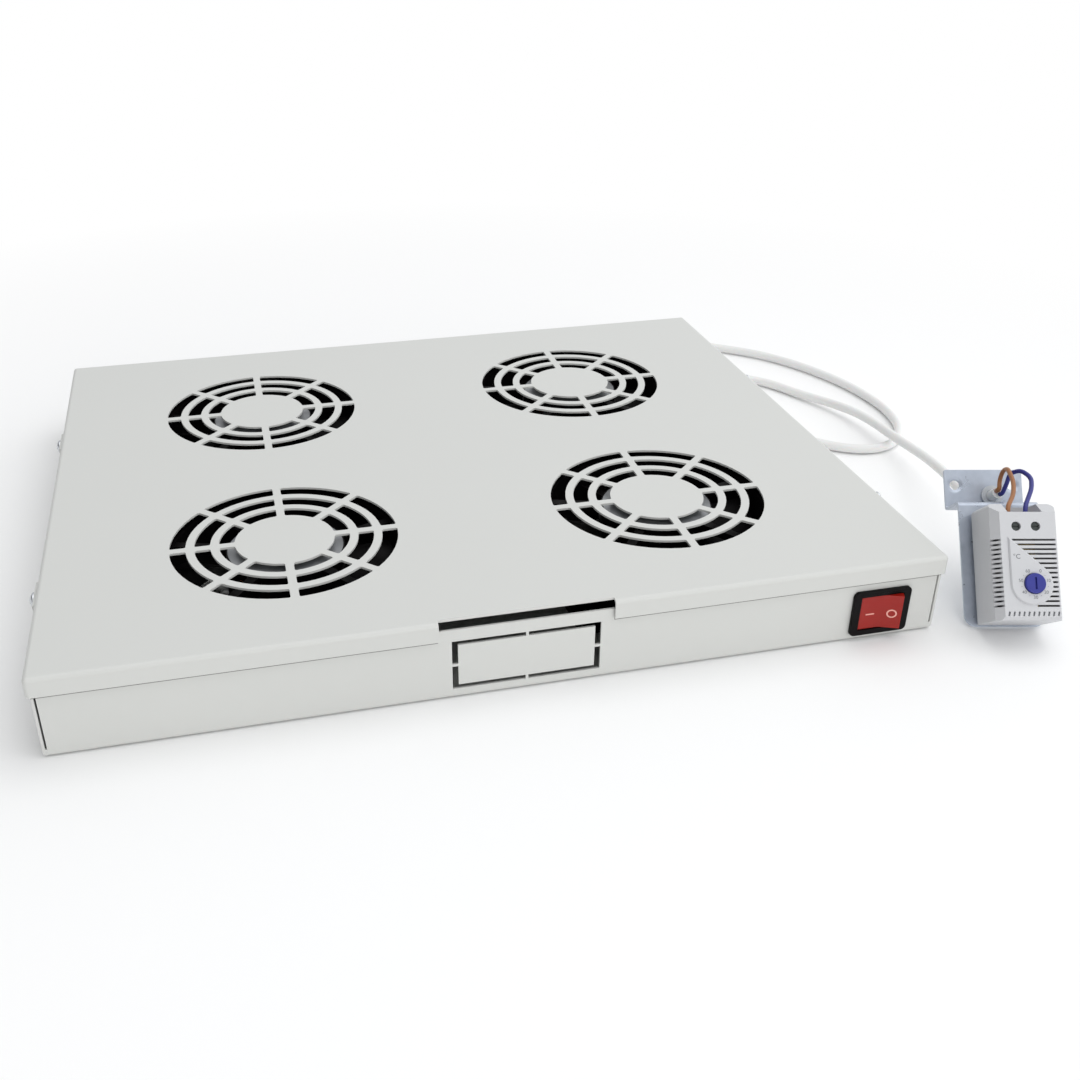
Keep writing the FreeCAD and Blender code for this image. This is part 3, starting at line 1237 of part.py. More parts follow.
def thermostat_fittings():
    """Dial with its cam, terminal screws and clamps, bimetal strip, and the screws through the bracket."""
    dial = case_point(size("dial_across"), 0, size("dial_up"))
    recess = size("dial_recess")
    knob = Part.makeCylinder(size("dial_radius"), size("dial_proud") + size("panel_proud") + recess - 0.1,
                             dial - V(0, size("dial_proud") + size("panel_proud"), 0), V(0, 1, 0))
    rim = [e for e in knob.Edges if e.BoundBox.YMax < dial.y - size("dial_proud") and e.BoundBox.XLength > 1]
    knob = knob.makeFillet(0.5, rim)
    front_y = dial.y - size("dial_proud") - size("panel_proud")
    knob = knob.cut(Part.makeBox(size("dial_slot_width"), size("dial_slot_depth") + 1, size("dial_slot_length"),
                                 V(dial.x - size("dial_slot_width") / 2, front_y - 1,
                                   dial.z - size("dial_slot_length") / 2)))
    inside = front_inside()
    stem = Part.makeCylinder(size("dial_shaft_radius"), inside + 0.6, dial, V(0, 1, 0))
    cam = Part.makeCylinder(size("cam_radius"), size("cam_thickness"),
                            dial + V(0, inside + 0.4, 0), V(0, 1, 0))
    node("thermostat_dial", solid("Dial", knob.fuse([stem, cam]).removeSplitter()), STAND)

    screws = []
    clamps = []
    for number in (0, 1):
        across = terminal_across(number)
        start = case_point(across, size("terminal_recess"), size("terminal_height"))
        head = Part.makeCylinder(size("terminal_screw_radius"), 2.2, start, V(0, 1, 0))
        head = head.cut(Part.makeBox(5, 0.9, 0.7, start - V(2.5, 0, 0.35)))
        thread = Part.makeCylinder(size("terminal_screw_thread"), size("terminal_screw_length"), start, V(0, 1, 0))
        thread = thread.cut(Part.makeBox(5, 0.9, 0.7, start - V(2.5, 0, 0.35)))
        screws.append(head.fuse(thread).removeSplitter())
        width = size("clamp_width")
        clamp = case_box(across - width / 2, front_inside() + size("clamp_gap"),
                         size("terminal_height") - size("clamp_height") / 2,
                         width, size("clamp_depth"), size("clamp_height"))
        bore = Part.makeCylinder(size("terminal_screw_thread") + size("thread_fit"), 30,
                                 start, V(0, 1, 0))
        mouth = case_box(wire_across(number) - 1.5, size("wire_deep") - 1.6, size("terminal_height"), 3.0, 3.2, 8)
        clamps.append(clamp.cut(bore).cut(mouth))
    node("thermostat_terminal_screws", solid("TerminalScrewsT", Part.makeCompound(screws)), STAND)
    node("thermostat_clamps", solid("ThermostatClamps", Part.makeCompound(clamps)), STAND)

    strip = case_box(size("dial_across") - size("bimetal_width") / 2, inside + size("cam_thickness") + 1.2, 5,
                     size("bimetal_width"), size("bimetal_thickness"), size("bimetal_length"))
    post = case_box(size("dial_across") - size("bimetal_width") / 2, inside + size("cam_thickness") + 1.2
                    + size("bimetal_thickness"), size("bimetal_length"), size("bimetal_width"),
                    size("case_depth") - size("case_wall") - inside - size("cam_thickness") - 1.2
                    - size("bimetal_thickness"), 5)
    node("thermostat_bimetal", solid("Bimetal", strip), STAND)
    node("bimetal_post", solid("BimetalPost", post), STAND)

    fixings = []
    for up in case_screw_heights():
        seat = V(size("case_shift"), size("plate_thickness"), up)
        head = Part.makeCylinder(size("inlet_head_radius"), size("inlet_head_height"), seat, V(0, 1, 0))
        rim = [e for e in head.Edges if e.BoundBox.YMin > seat.y + 1]
        head = head.makeFillet(0.8, rim)
        shank = Part.makeCylinder(size("inlet_screw_radius"), size("plate_thickness") + size("inlet_screw_length") - 2,
                                  seat, V(0, -1, 0))
        slot = Part.makeBox(6, 0.8, 0.7, V(seat.x - 3, seat.y + size("inlet_head_height") - 0.8, seat.z - 0.35))
        fixings.append(head.fuse(shank).cut(slot).removeSplitter())
    node("case_screws", solid("CaseScrews", Part.makeCompound(fixings)), STAND)


# ---------------------------------------------------------------- cord and its cores

GLAND_MOUTH = V(size("gland_offset"),
                size("tray_depth") / 2 - size("sheet") - size("cover_gap")
                + size("gland_flange_thickness") + size("gland_dome_length"), size("gland_middle"))


def bush_point(deep, across=0.0, up=0.0):
    """A point on the bush's axis in the tray's frame; deep is measured behind the flag."""
    local = V(size("bush_across") + across, size("shelf_depth") + deep,
              size("plate_height") + size("bush_rise") + up)
    return STAND.multVec(local)


def thermostat_cord():
    """Free cord from the gland, round one loop on the floor beside the tray, up to the bracket."""
    lay = size("cord_radius") + 0.1
    mouth = GLAND_MOUTH
    bush_end = bush_point(size("bush_length"))
    points = [
        mouth,
        V(mouth.x, mouth.y + 16, mouth.z),
        V(mouth.x + 7, mouth.y + 34, 10),
        V(204, 243, lay),
        V(237, 235, lay),
        V(267, 214, lay),
        V(292, 193, lay),
        V(312, 162, lay),
        V(326, 126, lay),
        V(332, 93, lay),
        V(332, 66, lay),
        V(326, 42, lay),
        V(313, 22, lay),
        V(292, 13.5, lay),
        V(270, 22, lay),
        V(250, 44, lay),
        V(234, 74, lay),
        V(227, 106, lay),
        V(226, 136.8, lay),
        V(239.8, 150.6, lay),
        V(259.4, 150.6, lay),
        V(273.2, 136.8, lay),
        V(285, 113, lay),
        V(296, 90, lay + 2.0),
        V(302.5, 66, lay + 4.6),
        V(304, 42, 10.0),
        V(303.5, 15, 11.6),
        V(301.5, -10, 15.0),
        V(295, -38, 21.5),
        V(287.5, -66, 27.5),
        V(281.5, -92, 30.5),
        bush_point(size("bush_length") + 22),
        bush_end,
    ]
    node("thermostat_cord", solid("ThermostatCord", tube_along(points, size("cord_radius"), "thermostat_cord")))
    tail_start = GLAND_MOUTH
    tail = Part.makeCylinder(size("cord_radius"), size("gland_flange_thickness") + size("gland_dome_length")
                             + size("gland_thread_length") + 8, tail_start, V(0, -1, 0))
    node("cord_tail", solid("CordTail", tail))
    tail_end = tail_start.y - (size("gland_flange_thickness") + size("gland_dome_length")
                               + size("gland_thread_length") + 8)
    cores = []
    radius = size("core_radius")
    lay_core = size("sheet") + radius + 0.3
    for number, pole, lane in ((0, 5, 3.4), (1, 4, 6.4)):
        mouth_in = at_block(pole, 1)
        wall = mouth_in.x + lane
        start = V(tail_start.x + (number - 0.5) * 2.6, tail_end, tail_start.z)
        points_in = [start, start - V(0, 9, 0), V(wall - 8, tail_end - 28 + 3 * number, lay_core + 6),
                     V(wall, tail_end - 62, lay_core), V(wall, mouth_in.y + 16, lay_core),
                     V(wall - 1.4, mouth_in.y + 5, mouth_in.z - 2), V(mouth_in.x + 2, mouth_in.y, mouth_in.z),
                     mouth_in]
        cores.append(tube_along(points_in, radius))
    node("cord_cores", solid("CordCores", Part.makeCompound(cores)))

    thick = size("plate_thickness")
    head_back = bush_point(size("bush_length"))
    reach = size("bush_length") + thick + size("bush_flange_thickness") + size("sheath_length")
    forward = STAND.Rotation.multVec(V(0, -1, 0))
    head = Part.makeCylinder(size("cord_radius"), reach, head_back, forward)
    node("cord_sheath_end", solid("CordSheathEnd", head))
    front = size("shelf_depth") + size("bush_length") - reach
    wires = {
        "wire_brown": ((-0.9, 0.9), 4.0, ((4.3, 6.6, 78.4), (4.9, 3.0, 82.6), (4.9, -3.0, 82.4), (4.1, -11.0, 74.0),
                                          (1.2, -17.0, 66.0)), 0),
        "wire_blue": ((1.0, -0.9), 3.0, ((6.0, 2.0, 75.4), (6.8, -0.6, 80.2), (10.0, -6.5, 80.8),
                                         (12.9, -12.0, 75.8), (10.6, -17.0, 69.0)), 1),
    }
    for name, (offset, straight, route, number) in wires.items():
        start = V(size("bush_across") + offset[0], front, size("plate_height") + size("bush_rise") + offset[1])
        end = case_point(wire_across(number), size("wire_deep"), size("wire_end"))
        local = [start, start - V(0, straight, 0)] + [V(*point) for point in route] + [end + V(0, 0, 8), end]
        node(name, solid(name.title().replace("_", ""), tube_along(local, size("core_radius"), name)), STAND)


cutters = grille_cutters()
top_cover(cutters)
base_tray(cutters)
cover_fasteners()
fan_fasteners()
fans()
rocker_switch()
mains_inlet()
cord_gland()
terminal_block()
wiring()
thermostat_bracket()
thermostat_case()
thermostat_fittings()
thermostat_cord()
doc.recompute()

faults = []
for obj in doc.Objects:
    if "Invalid" in obj.State or "Error" in obj.State:
        faults.append(f"{obj.Name}: {obj.State}")
for obj in NODES:
    if obj.Shape.isNull() or not obj.Shape.isValid() or not obj.Shape.Solids:
        faults.append(f"{obj.Label}: bad shape")
if faults:
    raise RuntimeError("; ".join(faults))

for obj in NODES:
    obj.Shape.exportStep(f"parts/{obj.Label}.step")
dial_centre = STAND.multVec(case_point(size("dial_across"), 0, size("dial_up")))
dial_axis = STAND.Rotation.multVec(V(0, -1, 0))
print("dial at", [round(c, 3) for c in dial_centre], "axis", [round(c, 5) for c in dial_axis])
for side in (-1, 1):
    hole = STAND.multVec(V(side * size("flag_hole_across") / 2, size("shelf_depth") - size("plate_thickness") / 2,
                           size("plate_height") + size("flag_hole_rise")))
    print("flag hole", [round(c, 3) for c in hole])
print(len(NODES), "nodes written")
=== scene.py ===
import json
import math

import bmesh
import bpy
import numpy as np
from mathutils import Matrix, Vector


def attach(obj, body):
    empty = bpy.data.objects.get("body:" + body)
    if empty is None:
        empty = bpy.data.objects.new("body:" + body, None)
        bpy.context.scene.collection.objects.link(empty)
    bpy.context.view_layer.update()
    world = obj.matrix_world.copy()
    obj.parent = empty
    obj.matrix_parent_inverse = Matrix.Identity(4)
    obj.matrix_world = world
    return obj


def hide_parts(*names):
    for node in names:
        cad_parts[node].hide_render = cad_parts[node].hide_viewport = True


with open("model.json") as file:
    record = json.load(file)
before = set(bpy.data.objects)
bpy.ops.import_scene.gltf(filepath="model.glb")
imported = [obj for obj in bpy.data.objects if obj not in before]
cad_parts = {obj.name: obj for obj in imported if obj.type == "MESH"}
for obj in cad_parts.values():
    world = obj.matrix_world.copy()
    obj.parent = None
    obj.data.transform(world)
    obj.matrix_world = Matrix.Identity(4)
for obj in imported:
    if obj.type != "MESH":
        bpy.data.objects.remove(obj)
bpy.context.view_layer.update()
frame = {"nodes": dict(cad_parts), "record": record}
nodes = frame["nodes"]
print("frame loaded:", len(nodes), "nodes")


def inScene(name, data):
    thing = bpy.data.objects.new(name, data)
    bpy.context.scene.collection.objects.link(thing)
    return thing


# the camera looks down on the tray's front from the left

view = {
    "place": (-0.11955, -0.63978, 0.34847),
    "forward": (0.204887, 0.846134, -0.492016),
    "up": (0.116918, 0.477923, 0.870586),
    "lens": 40.696, "sensor": 36.0, "shiftX": 0.0343, "nearest": 0.01,
}


def lookAlong(place, forward, up):
    back = -Vector(forward).normalized()
    right = Vector(up).cross(back).normalized()
    turn = Matrix((right, back.cross(right).normalized(), back)).transposed().to_4x4()
    return Matrix.Translation(place) @ turn


cameraData = bpy.data.cameras.new("camera")
cameraData.lens = view["lens"]
cameraData.sensor_width = view["sensor"]
cameraData.shift_x = view["shiftX"]
cameraData.clip_start = view["nearest"]
camera = inScene("camera", cameraData)
camera.matrix_world = lookAlong(view["place"], view["forward"], view["up"])
bpy.context.scene.camera = camera
bpy.context.scene.view_settings.view_transform = "Standard"
print("camera placed")


class Shading:
    # one material with a Principled shader, read in Object coordinates
    def __init__(self, name):
        self.material = bpy.data.materials.new(name)
        self.material.use_nodes = True
        self.tree = self.material.node_tree
        self.shader = self.tree.nodes["Principled BSDF"]
        self.place = self.make("ShaderNodeTexCoord", "Object", {})

    def feed(self, socket, value):
        # a socket takes another node's output or a fixed value
        if isinstance(value, bpy.types.NodeSocket):
            self.tree.links.new(value, socket)
        else:
            socket.default_value = value

    def make(self, kind, output, inputs, **settings):
        # sockets are asked for by name, or by number where several share a name
        node = self.tree.nodes.new(kind)
        for key, value in settings.items():
            setattr(node, key, value)
        for key, value in inputs.items():
            self.feed(node.inputs[key], value)
        return node.outputs[output]

    def to(self, **values):
        # names of the Principled shader's inputs, with _ for a space
        for key, value in values.items():
            self.feed(self.shader.inputs[key.replace("_", " ")], value)

    def held(self, name):
        return self.shader.inputs[name].links[0].from_socket

    def noise(self, scale, detail, rough, stretch=None):
        place = self.place
        if stretch:
            place = self.make("ShaderNodeMapping", "Vector", {"Vector": place, "Scale": stretch})
        return self.make("ShaderNodeTexNoise", "Fac",
                         {"Vector": place, "Scale": scale, "Detail": detail, "Roughness": rough})

    def span(self, value, fromLow, fromHigh, low, high):
        return self.make("ShaderNodeMapRange", "Result", {
            "Value": value, "From Min": fromLow, "From Max": fromHigh, "To Min": low, "To Max": high})

    def blend(self, value, first, second):
        # the mix node's colours are inputs 6 and 7, and its mixed colour is output 2
        return self.make("ShaderNodeMix", 2, {0: value, 6: first, 7: second}, data_type="RGBA")

    def bump(self, value, strength, height, below=None):
        inputs = {"Height": value, "Strength": strength, "Distance": height}
        if below is not None:
            inputs["Normal"] = below
        return self.make("ShaderNodeBump", "Normal", inputs)

    def maths(self, operation, *values):
        return self.make("ShaderNodeMath", "Value", dict(enumerate(values)), operation=operation)


def colour(tone, factor=1.0):
    # screen values from 0 to 255, as linear light
    def linear(part):
        part = min(part / 255 * factor, 1.0)
        return part / 12.92 if part <= 0.04045 else ((part + 0.055) / 1.055) ** 2.4
    return (*map(linear, tone), 1.0)


def finish(name, tone, spread, rough, patch, grain, grainHeight, grainStrength, stretch=None, **shader):
    # broad soft patches in colour and roughness, and a fine grain in the bump. Most noise lies from 0.3 to 0.7
    kit = Shading(name)
    broad = kit.noise(patch, detail=3.0, rough=0.55, stretch=stretch)
    fine = kit.noise(grain, detail=2.0, rough=0.6, stretch=stretch)
    kit.to(Base_Color=kit.blend(broad, colour(tone, 1 - spread), colour(tone, 1 + spread)),
           Roughness=kit.span(broad, 0.3, 0.7, *rough),
           Normal=kit.bump(fine, grainStrength, grainHeight), **shader)
    return kit


# one finish for each slot of the record, then a few for single pieces

coat = {"tone": (204, 205, 202), "spread": 0.008, "rough": (0.36, 0.44), "patch": 9.0, "grain": 2600.0,
        "grainHeight": 0.000012, "grainStrength": 0.5}
finishes = {
    "coated_sheet": coat,
    "zinc_sheet": {
        "tone": (172, 180, 193), "spread": 0.07, "rough": (0.26, 0.42), "patch": 160.0, "grain": 1500.0,
        "grainHeight": 0.00001, "grainStrength": 0.4, "Metallic": 0.55},
    "black_plastic": {
        "tone": (7, 5, 6), "spread": 0.10, "rough": (0.42, 0.55), "patch": 60.0, "grain": 1800.0,
        "grainHeight": 0.00002, "grainStrength": 0.35, "Specular_IOR_Level": 0.12},
    "red_plastic": {
        "tone": (151, 26, 17), "spread": 0.03, "rough": (0.2, 0.26), "patch": 90.0, "grain": 900.0,
        "grainHeight": 0.000004, "grainStrength": 0.2, "Specular_IOR_Level": 0.3,
        "Coat_Weight": 0.15, "Coat_Roughness": 0.1, "Subsurface_Weight": 0.15, "Subsurface_Scale": 0.002},
    "plated_steel": {
        "tone": (200, 203, 207), "spread": 0.05, "rough": (0.2, 0.34), "patch": 500.0, "grain": 3000.0,
        "grainHeight": 0.000008, "grainStrength": 0.4, "Metallic": 1.0},
    "grey_plastic": {
        "tone": (199, 200, 203), "spread": 0.012, "rough": (0.42, 0.52), "patch": 70.0, "grain": 2200.0,
        "grainHeight": 0.00002, "grainStrength": 0.35},
    "blue_plastic": {
        "tone": (42, 48, 138), "spread": 0.05, "rough": (0.3, 0.38), "patch": 200.0, "grain": 2400.0,
        "grainHeight": 0.00001, "grainStrength": 0.3},
    "white_pvc": {
        "tone": (230, 230, 229), "spread": 0.012, "rough": (0.34, 0.44), "patch": 60.0, "grain": 1600.0,
        "grainHeight": 0.00001, "grainStrength": 0.3, "Subsurface_Weight": 0.08, "Subsurface_Scale": 0.002},
    "brown_pvc": {
        "tone": (152, 99, 58), "spread": 0.05, "rough": (0.34, 0.44), "patch": 300.0, "grain": 2400.0,
        "grainHeight": 0.000008, "grainStrength": 0.3},
    "blue_pvc": {
        "tone": (38, 40, 124), "spread": 0.05, "rough": (0.34, 0.44), "patch": 300.0, "grain": 2400.0,
        "grainHeight": 0.000008, "grainStrength": 0.3},
    "black_rubber": {
        "tone": (34, 34, 36), "spread": 0.08, "rough": (0.6, 0.75), "patch": 200.0, "grain": 1800.0,
        "grainHeight": 0.00002, "grainStrength": 0.5},
    "brass_contact": {
        "tone": (196, 172, 110), "spread": 0.06, "rough": (0.25, 0.4), "patch": 300.0, "grain": 2000.0,
        "grainHeight": 0.00001, "grainStrength": 0.3, "Metallic": 1.0},
    "copper_winding": {
        "tone": (178, 108, 64), "spread": 0.1, "rough": (0.28, 0.4), "patch": 400.0, "grain": 1200.0,
        "grainHeight": 0.00003, "grainStrength": 0.6, "stretch": (1.0, 1.0, 8.0), "Metallic": 0.9},
    "foil_plate": {
        "tone": (150, 152, 155), "spread": 0.03, "rough": (0.32, 0.42), "patch": 120.0, "grain": 1600.0,
        "grainHeight": 0.000008, "grainStrength": 0.3, "Metallic": 0.35},
    # the tray's own copy of the coat, which carries a painted shadow line right under the cover's rim
    "coated_sheet_rim_shadow": coat,
    # the terminal screws' steel is made darker as painted shade of the wells they sit in
    "screw_well_shade": {
        "tone": (72, 76, 75), "spread": 0.06, "rough": (0.3, 0.4), "patch": 400.0, "grain": 2400.0,
        "grainHeight": 0.00001, "grainStrength": 0.3, "Metallic": 0.8},
    "clear_bush": {
        "tone": (186, 190, 194), "spread": 0.04, "rough": (0.35, 0.45), "patch": 200.0, "grain": 1800.0,
        "grainHeight": 0.00001, "grainStrength": 0.3},
    "print": {
        "tone": (92, 94, 99), "spread": 0.05, "rough": (0.5, 0.6), "patch": 200.0, "grain": 2000.0,
        "grainHeight": 0.000004, "grainStrength": 0.2},
    "mark": {
        "tone": (232, 168, 156), "spread": 0.03, "rough": (0.3, 0.4), "patch": 200.0, "grain": 2000.0,
        "grainHeight": 0.000004, "grainStrength": 0.2},
}
kits = {name: finish(name, **values) for name, values in finishes.items()}

# the sprayed coat has soft ripples above its grain
peel = {"scale": 420.0, "detail": 2.0, "rough": 0.5, "strength": 0.35, "height": 0.00003}
for name in ("coated_sheet", "coated_sheet_rim_shadow"):
    kit = kits[name]
    ripples = kit.noise(peel["scale"], peel["detail"], peel["rough"])
    kit.to(Normal=kit.bump(ripples, peel["strength"], peel["height"], kit.held("Normal")))

# zinc crystals get paler from their middle towards their borders
spangle = {"scale": 260.0, "share": 0.25, "tone": (206, 212, 222)}


def addSpangle(kit):
    away = kit.make("ShaderNodeTexVoronoi", "Distance", {"Vector": kit.place, "Scale": spangle["scale"]})
    pale = kit.span(away, 0.0, 1.0, 0.0, spangle["share"])
    kit.to(Base_Color=kit.blend(pale, kit.held("Base Color"), colour(spangle["tone"])))


addSpangle(kits["zinc_sheet"])

# a dark line on the tray's walls stands for the shadow right under the cover's rim,
# and the front wall has none in the rim's notch
rimShadow = {"rim": 0.0335, "high": 0.0017, "soft": 0.0003, "notchMiddle": 0.003, "notchHalf": 0.0424,
        "behindFront": -0.1, "tone": (100, 100, 97)}


def addRimShadow(kit):
    axes = kit.make("ShaderNodeSeparateXYZ", "X", {"Vector": kit.place}).node.outputs
    low = rimShadow["rim"] - rimShadow["high"]
    band = kit.span(axes["Z"], low, low + rimShadow["soft"], 0.0, 1.0)
    aside = kit.maths("ABSOLUTE", kit.maths("SUBTRACT", axes["X"], rimShadow["notchMiddle"]))
    outside = kit.maths("MAXIMUM", kit.maths("GREATER_THAN", aside, rimShadow["notchHalf"]),
                        kit.maths("GREATER_THAN", axes["Y"], rimShadow["behindFront"]))
    shaded = kit.maths("MULTIPLY", band, outside)
    kit.to(Base_Color=kit.blend(shaded, kit.held("Base Color"), colour(rimShadow["tone"])))


addRimShadow(kits["coated_sheet_rim_shadow"])
materials = {name: kit.material for name, kit in kits.items()}
print("finishes made:", len(materials))

# CAD nodes keep their shape, and get joined triangles, soft edges and a finish

edgeWidths = {
    "top_cover": 0.00022, "base_tray": 0.00018, "thermostat_bracket": 0.00015, "thermostat_front": 0.00022,
    "thermostat_back": 0.0002, "switch_housing": 0.0003, "switch_rocker": 0.0003, "mains_inlet": 0.0003,
    "thermostat_dial": 0.00015, "cord_gland": 0.0003, "terminal_block": 0.0003,
}
edges = {"weld": 0.000004, "flatDegrees": 0.2, "sharpDegrees": 32, "smallWidth": 0.00008, "weight": 90}
# the tray's finish carries a painted shadow line under the cover's rim
ownFinish = {"base_tray": "coated_sheet_rim_shadow", "thermostat_terminal_screws": "screw_well_shade",
             "cord_bush": "clear_bush"}


def soften(piece, width):
    # small pieces have no width of their own: one thin chamfer, and their flat faces stay as they are
    piece.data.polygons.foreach_set("use_smooth", np.ones(len(piece.data.polygons), dtype=bool))
    weld = piece.modifiers.new("weld", "WELD")
    weld.merge_threshold = edges["weld"]
    if width:
        flat = piece.modifiers.new("flat", "DECIMATE")
        flat.decimate_type = "DISSOLVE"
        flat.angle_limit = math.radians(edges["flatDegrees"])
    bevel = piece.modifiers.new("edge", "BEVEL")
    bevel.limit_method = "ANGLE"
    bevel.angle_limit = math.radians(edges["sharpDegrees"])
    bevel.width = width or edges["smallWidth"]
    bevel.segments = 2 if width else 1
    weighted = piece.modifiers.new("normals", "WEIGHTED_NORMAL")
    weighted.weight = edges["weight"]


for subpart in frame["record"]["subparts"]:
    name = subpart["node"]
    piece = nodes[name]
    piece.data.materials.clear()
    piece.data.materials.append(materials[ownFinish.get(name, subpart["material_slot"])])
    if name != "thermostat_cord":
        soften(piece, edgeWidths.get(name))
print("CAD nodes finished")

# the cord takes the same route as in the part's source, on one smooth curve

cordValues = {
    "radius": 0.003, "length": 0.85, "order": 3, "steps": 10, "rings": 6,
    # millimetres
    "route": [(176, 200.2, 19), (176, 216.2, 19), (183, 234.2, 10), (204, 243, 3.1), (237, 235, 3.1),
              (267, 214, 3.1), (292, 193, 3.1), (312, 162, 3.1), (326, 126, 3.1), (332, 93, 3.1),
              (332, 66, 3.1), (326, 42, 3.1), (313, 22, 3.1), (292, 13.5, 3.1), (270, 22, 3.1),
              (250, 44, 3.1), (234, 74, 3.1), (227, 106, 3.1), (226, 136.8, 3.1), (239.8, 150.6, 3.1),
              (259.4, 150.6, 3.1), (273.2, 136.8, 3.1), (285, 113, 3.1), (296, 90, 5.1), (302.5, 66, 7.7),
              (304, 42, 10), (303.5, 15, 11.6), (301.5, -10, 15), (295, -38, 21.5), (287.5, -66, 27.5),
              (281.5, -92, 30.5), (277.575, -115.139, 29.576), (273.462, -131.883, 43.241)],
}
route = np.array(cordValues["route"]) / 1000
curve = bpy.data.curves.new("cord", "CURVE")
curve.dimensions = "3D"
spline = curve.splines.new("NURBS")
spline.points.add(len(route) - 1)
spline.points.foreach_set("co", np.column_stack([route, np.ones(len(route))]).ravel())
spline.order_u = cordValues["order"]
spline.use_endpoint_u = True
spline.resolution_u = cordValues["steps"]
curve.bevel_depth = cordValues["radius"]
curve.bevel_resolution = cordValues["rings"]
curve.use_fill_caps = True
curve.materials.append(materials["white_pvc"])
cord = inScene("cord", curve)
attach(cord, "tray")
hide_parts("thermostat_cord")
print("cord laid")


def textMesh(words, height):
    # a line of text in x and y that faces z, centred
    letters = bpy.data.curves.new("letters", "FONT")
    letters.body = words
    letters.size = height * 1.4  # a figure is about 0.7 of the font's size
    letters.align_x = "CENTER"
    letters.align_y = "CENTER"
    letters.resolution_u = 3
    holder = inScene("letters", letters)
    bpy.context.view_layer.update()
    mesh = bpy.data.meshes.new_from_object(holder.evaluated_get(bpy.context.evaluated_depsgraph_get()))
    bpy.data.objects.remove(holder)
    return mesh


def discMesh(radius, sides=12):
    # x = radius cos(angle), y = radius sin(angle)
    angles = np.linspace(0, 2 * math.pi, sides, endpoint=False)
    rim = np.column_stack([np.cos(angles), np.sin(angles), np.zeros(sides)]) * radius
    mesh = bpy.data.meshes.new("disc")
    mesh.from_pydata(rim.tolist(), [], [list(range(sides))])
    return mesh


def sheetMesh(name, rows):
    # rows by columns of points, faced towards -Y where they run up and to the right
    high, wide = rows.shape[:2]
    index = np.arange(high * wide).reshape(high, wide)
    faces = np.stack([index[:-1, :-1], index[:-1, 1:], index[1:, 1:], index[1:, :-1]], -1).reshape(-1, 4)
    mesh = bpy.data.meshes.new(name)
    mesh.from_pydata(rows.reshape(-1, 3).tolist(), [], faces.tolist())
    return mesh


def joinedMesh(name, meshes):
    gathered = bmesh.new()
    for mesh in meshes:
        gathered.from_mesh(mesh)
    whole = bpy.data.meshes.new(name)
    gathered.to_mesh(whole)
    gathered.free()
    return whole


# numbers, dots and the unit, printed on the thermostat's leaning panel

panel = {
    "stand": (0.2547, -0.1915, 0.0009317), "turn": -13.8, "lean": -38.4,
    "corner": (-0.01565, -0.0304, 0.0007), "face": -0.00093,
    "dial": (0.0184, 0.0179), "numbers": 7, "first": 27.0, "step": 51.0,
    "numberRadius": 0.0069, "numberHeight": 0.00165,
    "dotRadius": 0.0066, "dot": 0.00016,
    "unit": (0.0104, 0.0312), "unitHeight": 0.0024,
}
standTurn = (Matrix.Rotation(math.radians(panel["turn"]), 4, "Z")
             @ Matrix.Rotation(math.radians(panel["lean"]), 4, "X"))
caseFrame = Matrix.Translation(panel["stand"]) @ standTurn @ Matrix.Translation(panel["corner"])
# a print's x becomes across, its y becomes up, and its z becomes the way out of the panel
faceTurn = Matrix(((1, 0, 0, 0), (0, 0, -1, 0), (0, 1, 0, 0), (0, 0, 0, 1)))


def onPanel(mesh, across, up):
    mesh.transform(caseFrame @ Matrix.Translation((across, panel["face"], up)) @ faceTurn)
    return mesh


def roundDial(mesh, step, radius):
    # step 0 is the first number's place, and a half step lies between two numbers
    angle = math.radians(panel["first"] + step * panel["step"])
    across, up = panel["dial"]
    return onPanel(mesh, across + radius * math.sin(angle), up + radius * math.cos(angle))


prints = [roundDial(textMesh(str(10 * step), panel["numberHeight"]), step, panel["numberRadius"])
          for step in range(panel["numbers"])]
prints += [roundDial(discMesh(panel["dot"]), step + 0.5, panel["dotRadius"])
           for step in range(panel["numbers"] - 1)]
prints.append(onPanel(textMesh("°C", panel["unitHeight"]), *panel["unit"]))
scale = inScene("thermostat_scale", joinedMesh("thermostat_scale", prints))
scale.data.materials.append(materials["print"])
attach(scale, "tray")
print("panel printed")

# a dash and a ring in front of the rocker, which a modifier lays on its faces

rocker = {"dash": (0.1800, 0.0150), "dashSize": (0.0046, 0.0007),
          "ring": (0.1908, 0.0150), "ringRadius": 0.0024, "ringLine": 0.0007,
          "front": -0.2, "lift": 0.00004}


def dashMark(columns=13, rows=3):
    # x = middle + width across, z = middle + height up, with across and up from -0.5 to 0.5
    across, up = np.meshgrid(np.linspace(-0.5, 0.5, columns), np.linspace(-0.5, 0.5, rows))
    return np.stack([rocker["dash"][0] + across * rocker["dashSize"][0],
                     np.full_like(across, rocker["front"]),
                     rocker["dash"][1] + up * rocker["dashSize"][1]], -1)


def ringMark(columns=49, rows=3):
    # x = middle - radius cos(angle), z = middle + radius sin(angle), with the radius from rim to hole
    angle, inwards = np.meshgrid(np.linspace(0, 2 * math.pi, columns), np.linspace(0, 1, rows))
    radius = rocker["ringRadius"] - rocker["ringLine"] * inwards
    return np.stack([rocker["ring"][0] - radius * np.cos(angle),
                     np.full_like(angle, rocker["front"]),
                     rocker["ring"][1] + radius * np.sin(angle)], -1)


for name, rows in (("rocker_mark_on", dashMark()), ("rocker_mark_off", ringMark())):
    piece = inScene(name, sheetMesh(name, rows))
    piece.data.materials.append(materials["mark"])
    wrap = piece.modifiers.new("lay", "SHRINKWRAP")
    wrap.wrap_method = "PROJECT"
    wrap.use_project_y = True
    wrap.use_positive_direction = True
    wrap.use_negative_direction = False
    wrap.target = nodes["switch_rocker"]
    wrap.offset = rocker["lift"]
    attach(piece, "switch_rocker")
print("rocker marked")

# a guessed folded tab of the side wall behind the slit of the right front corner, which makes the slit paler

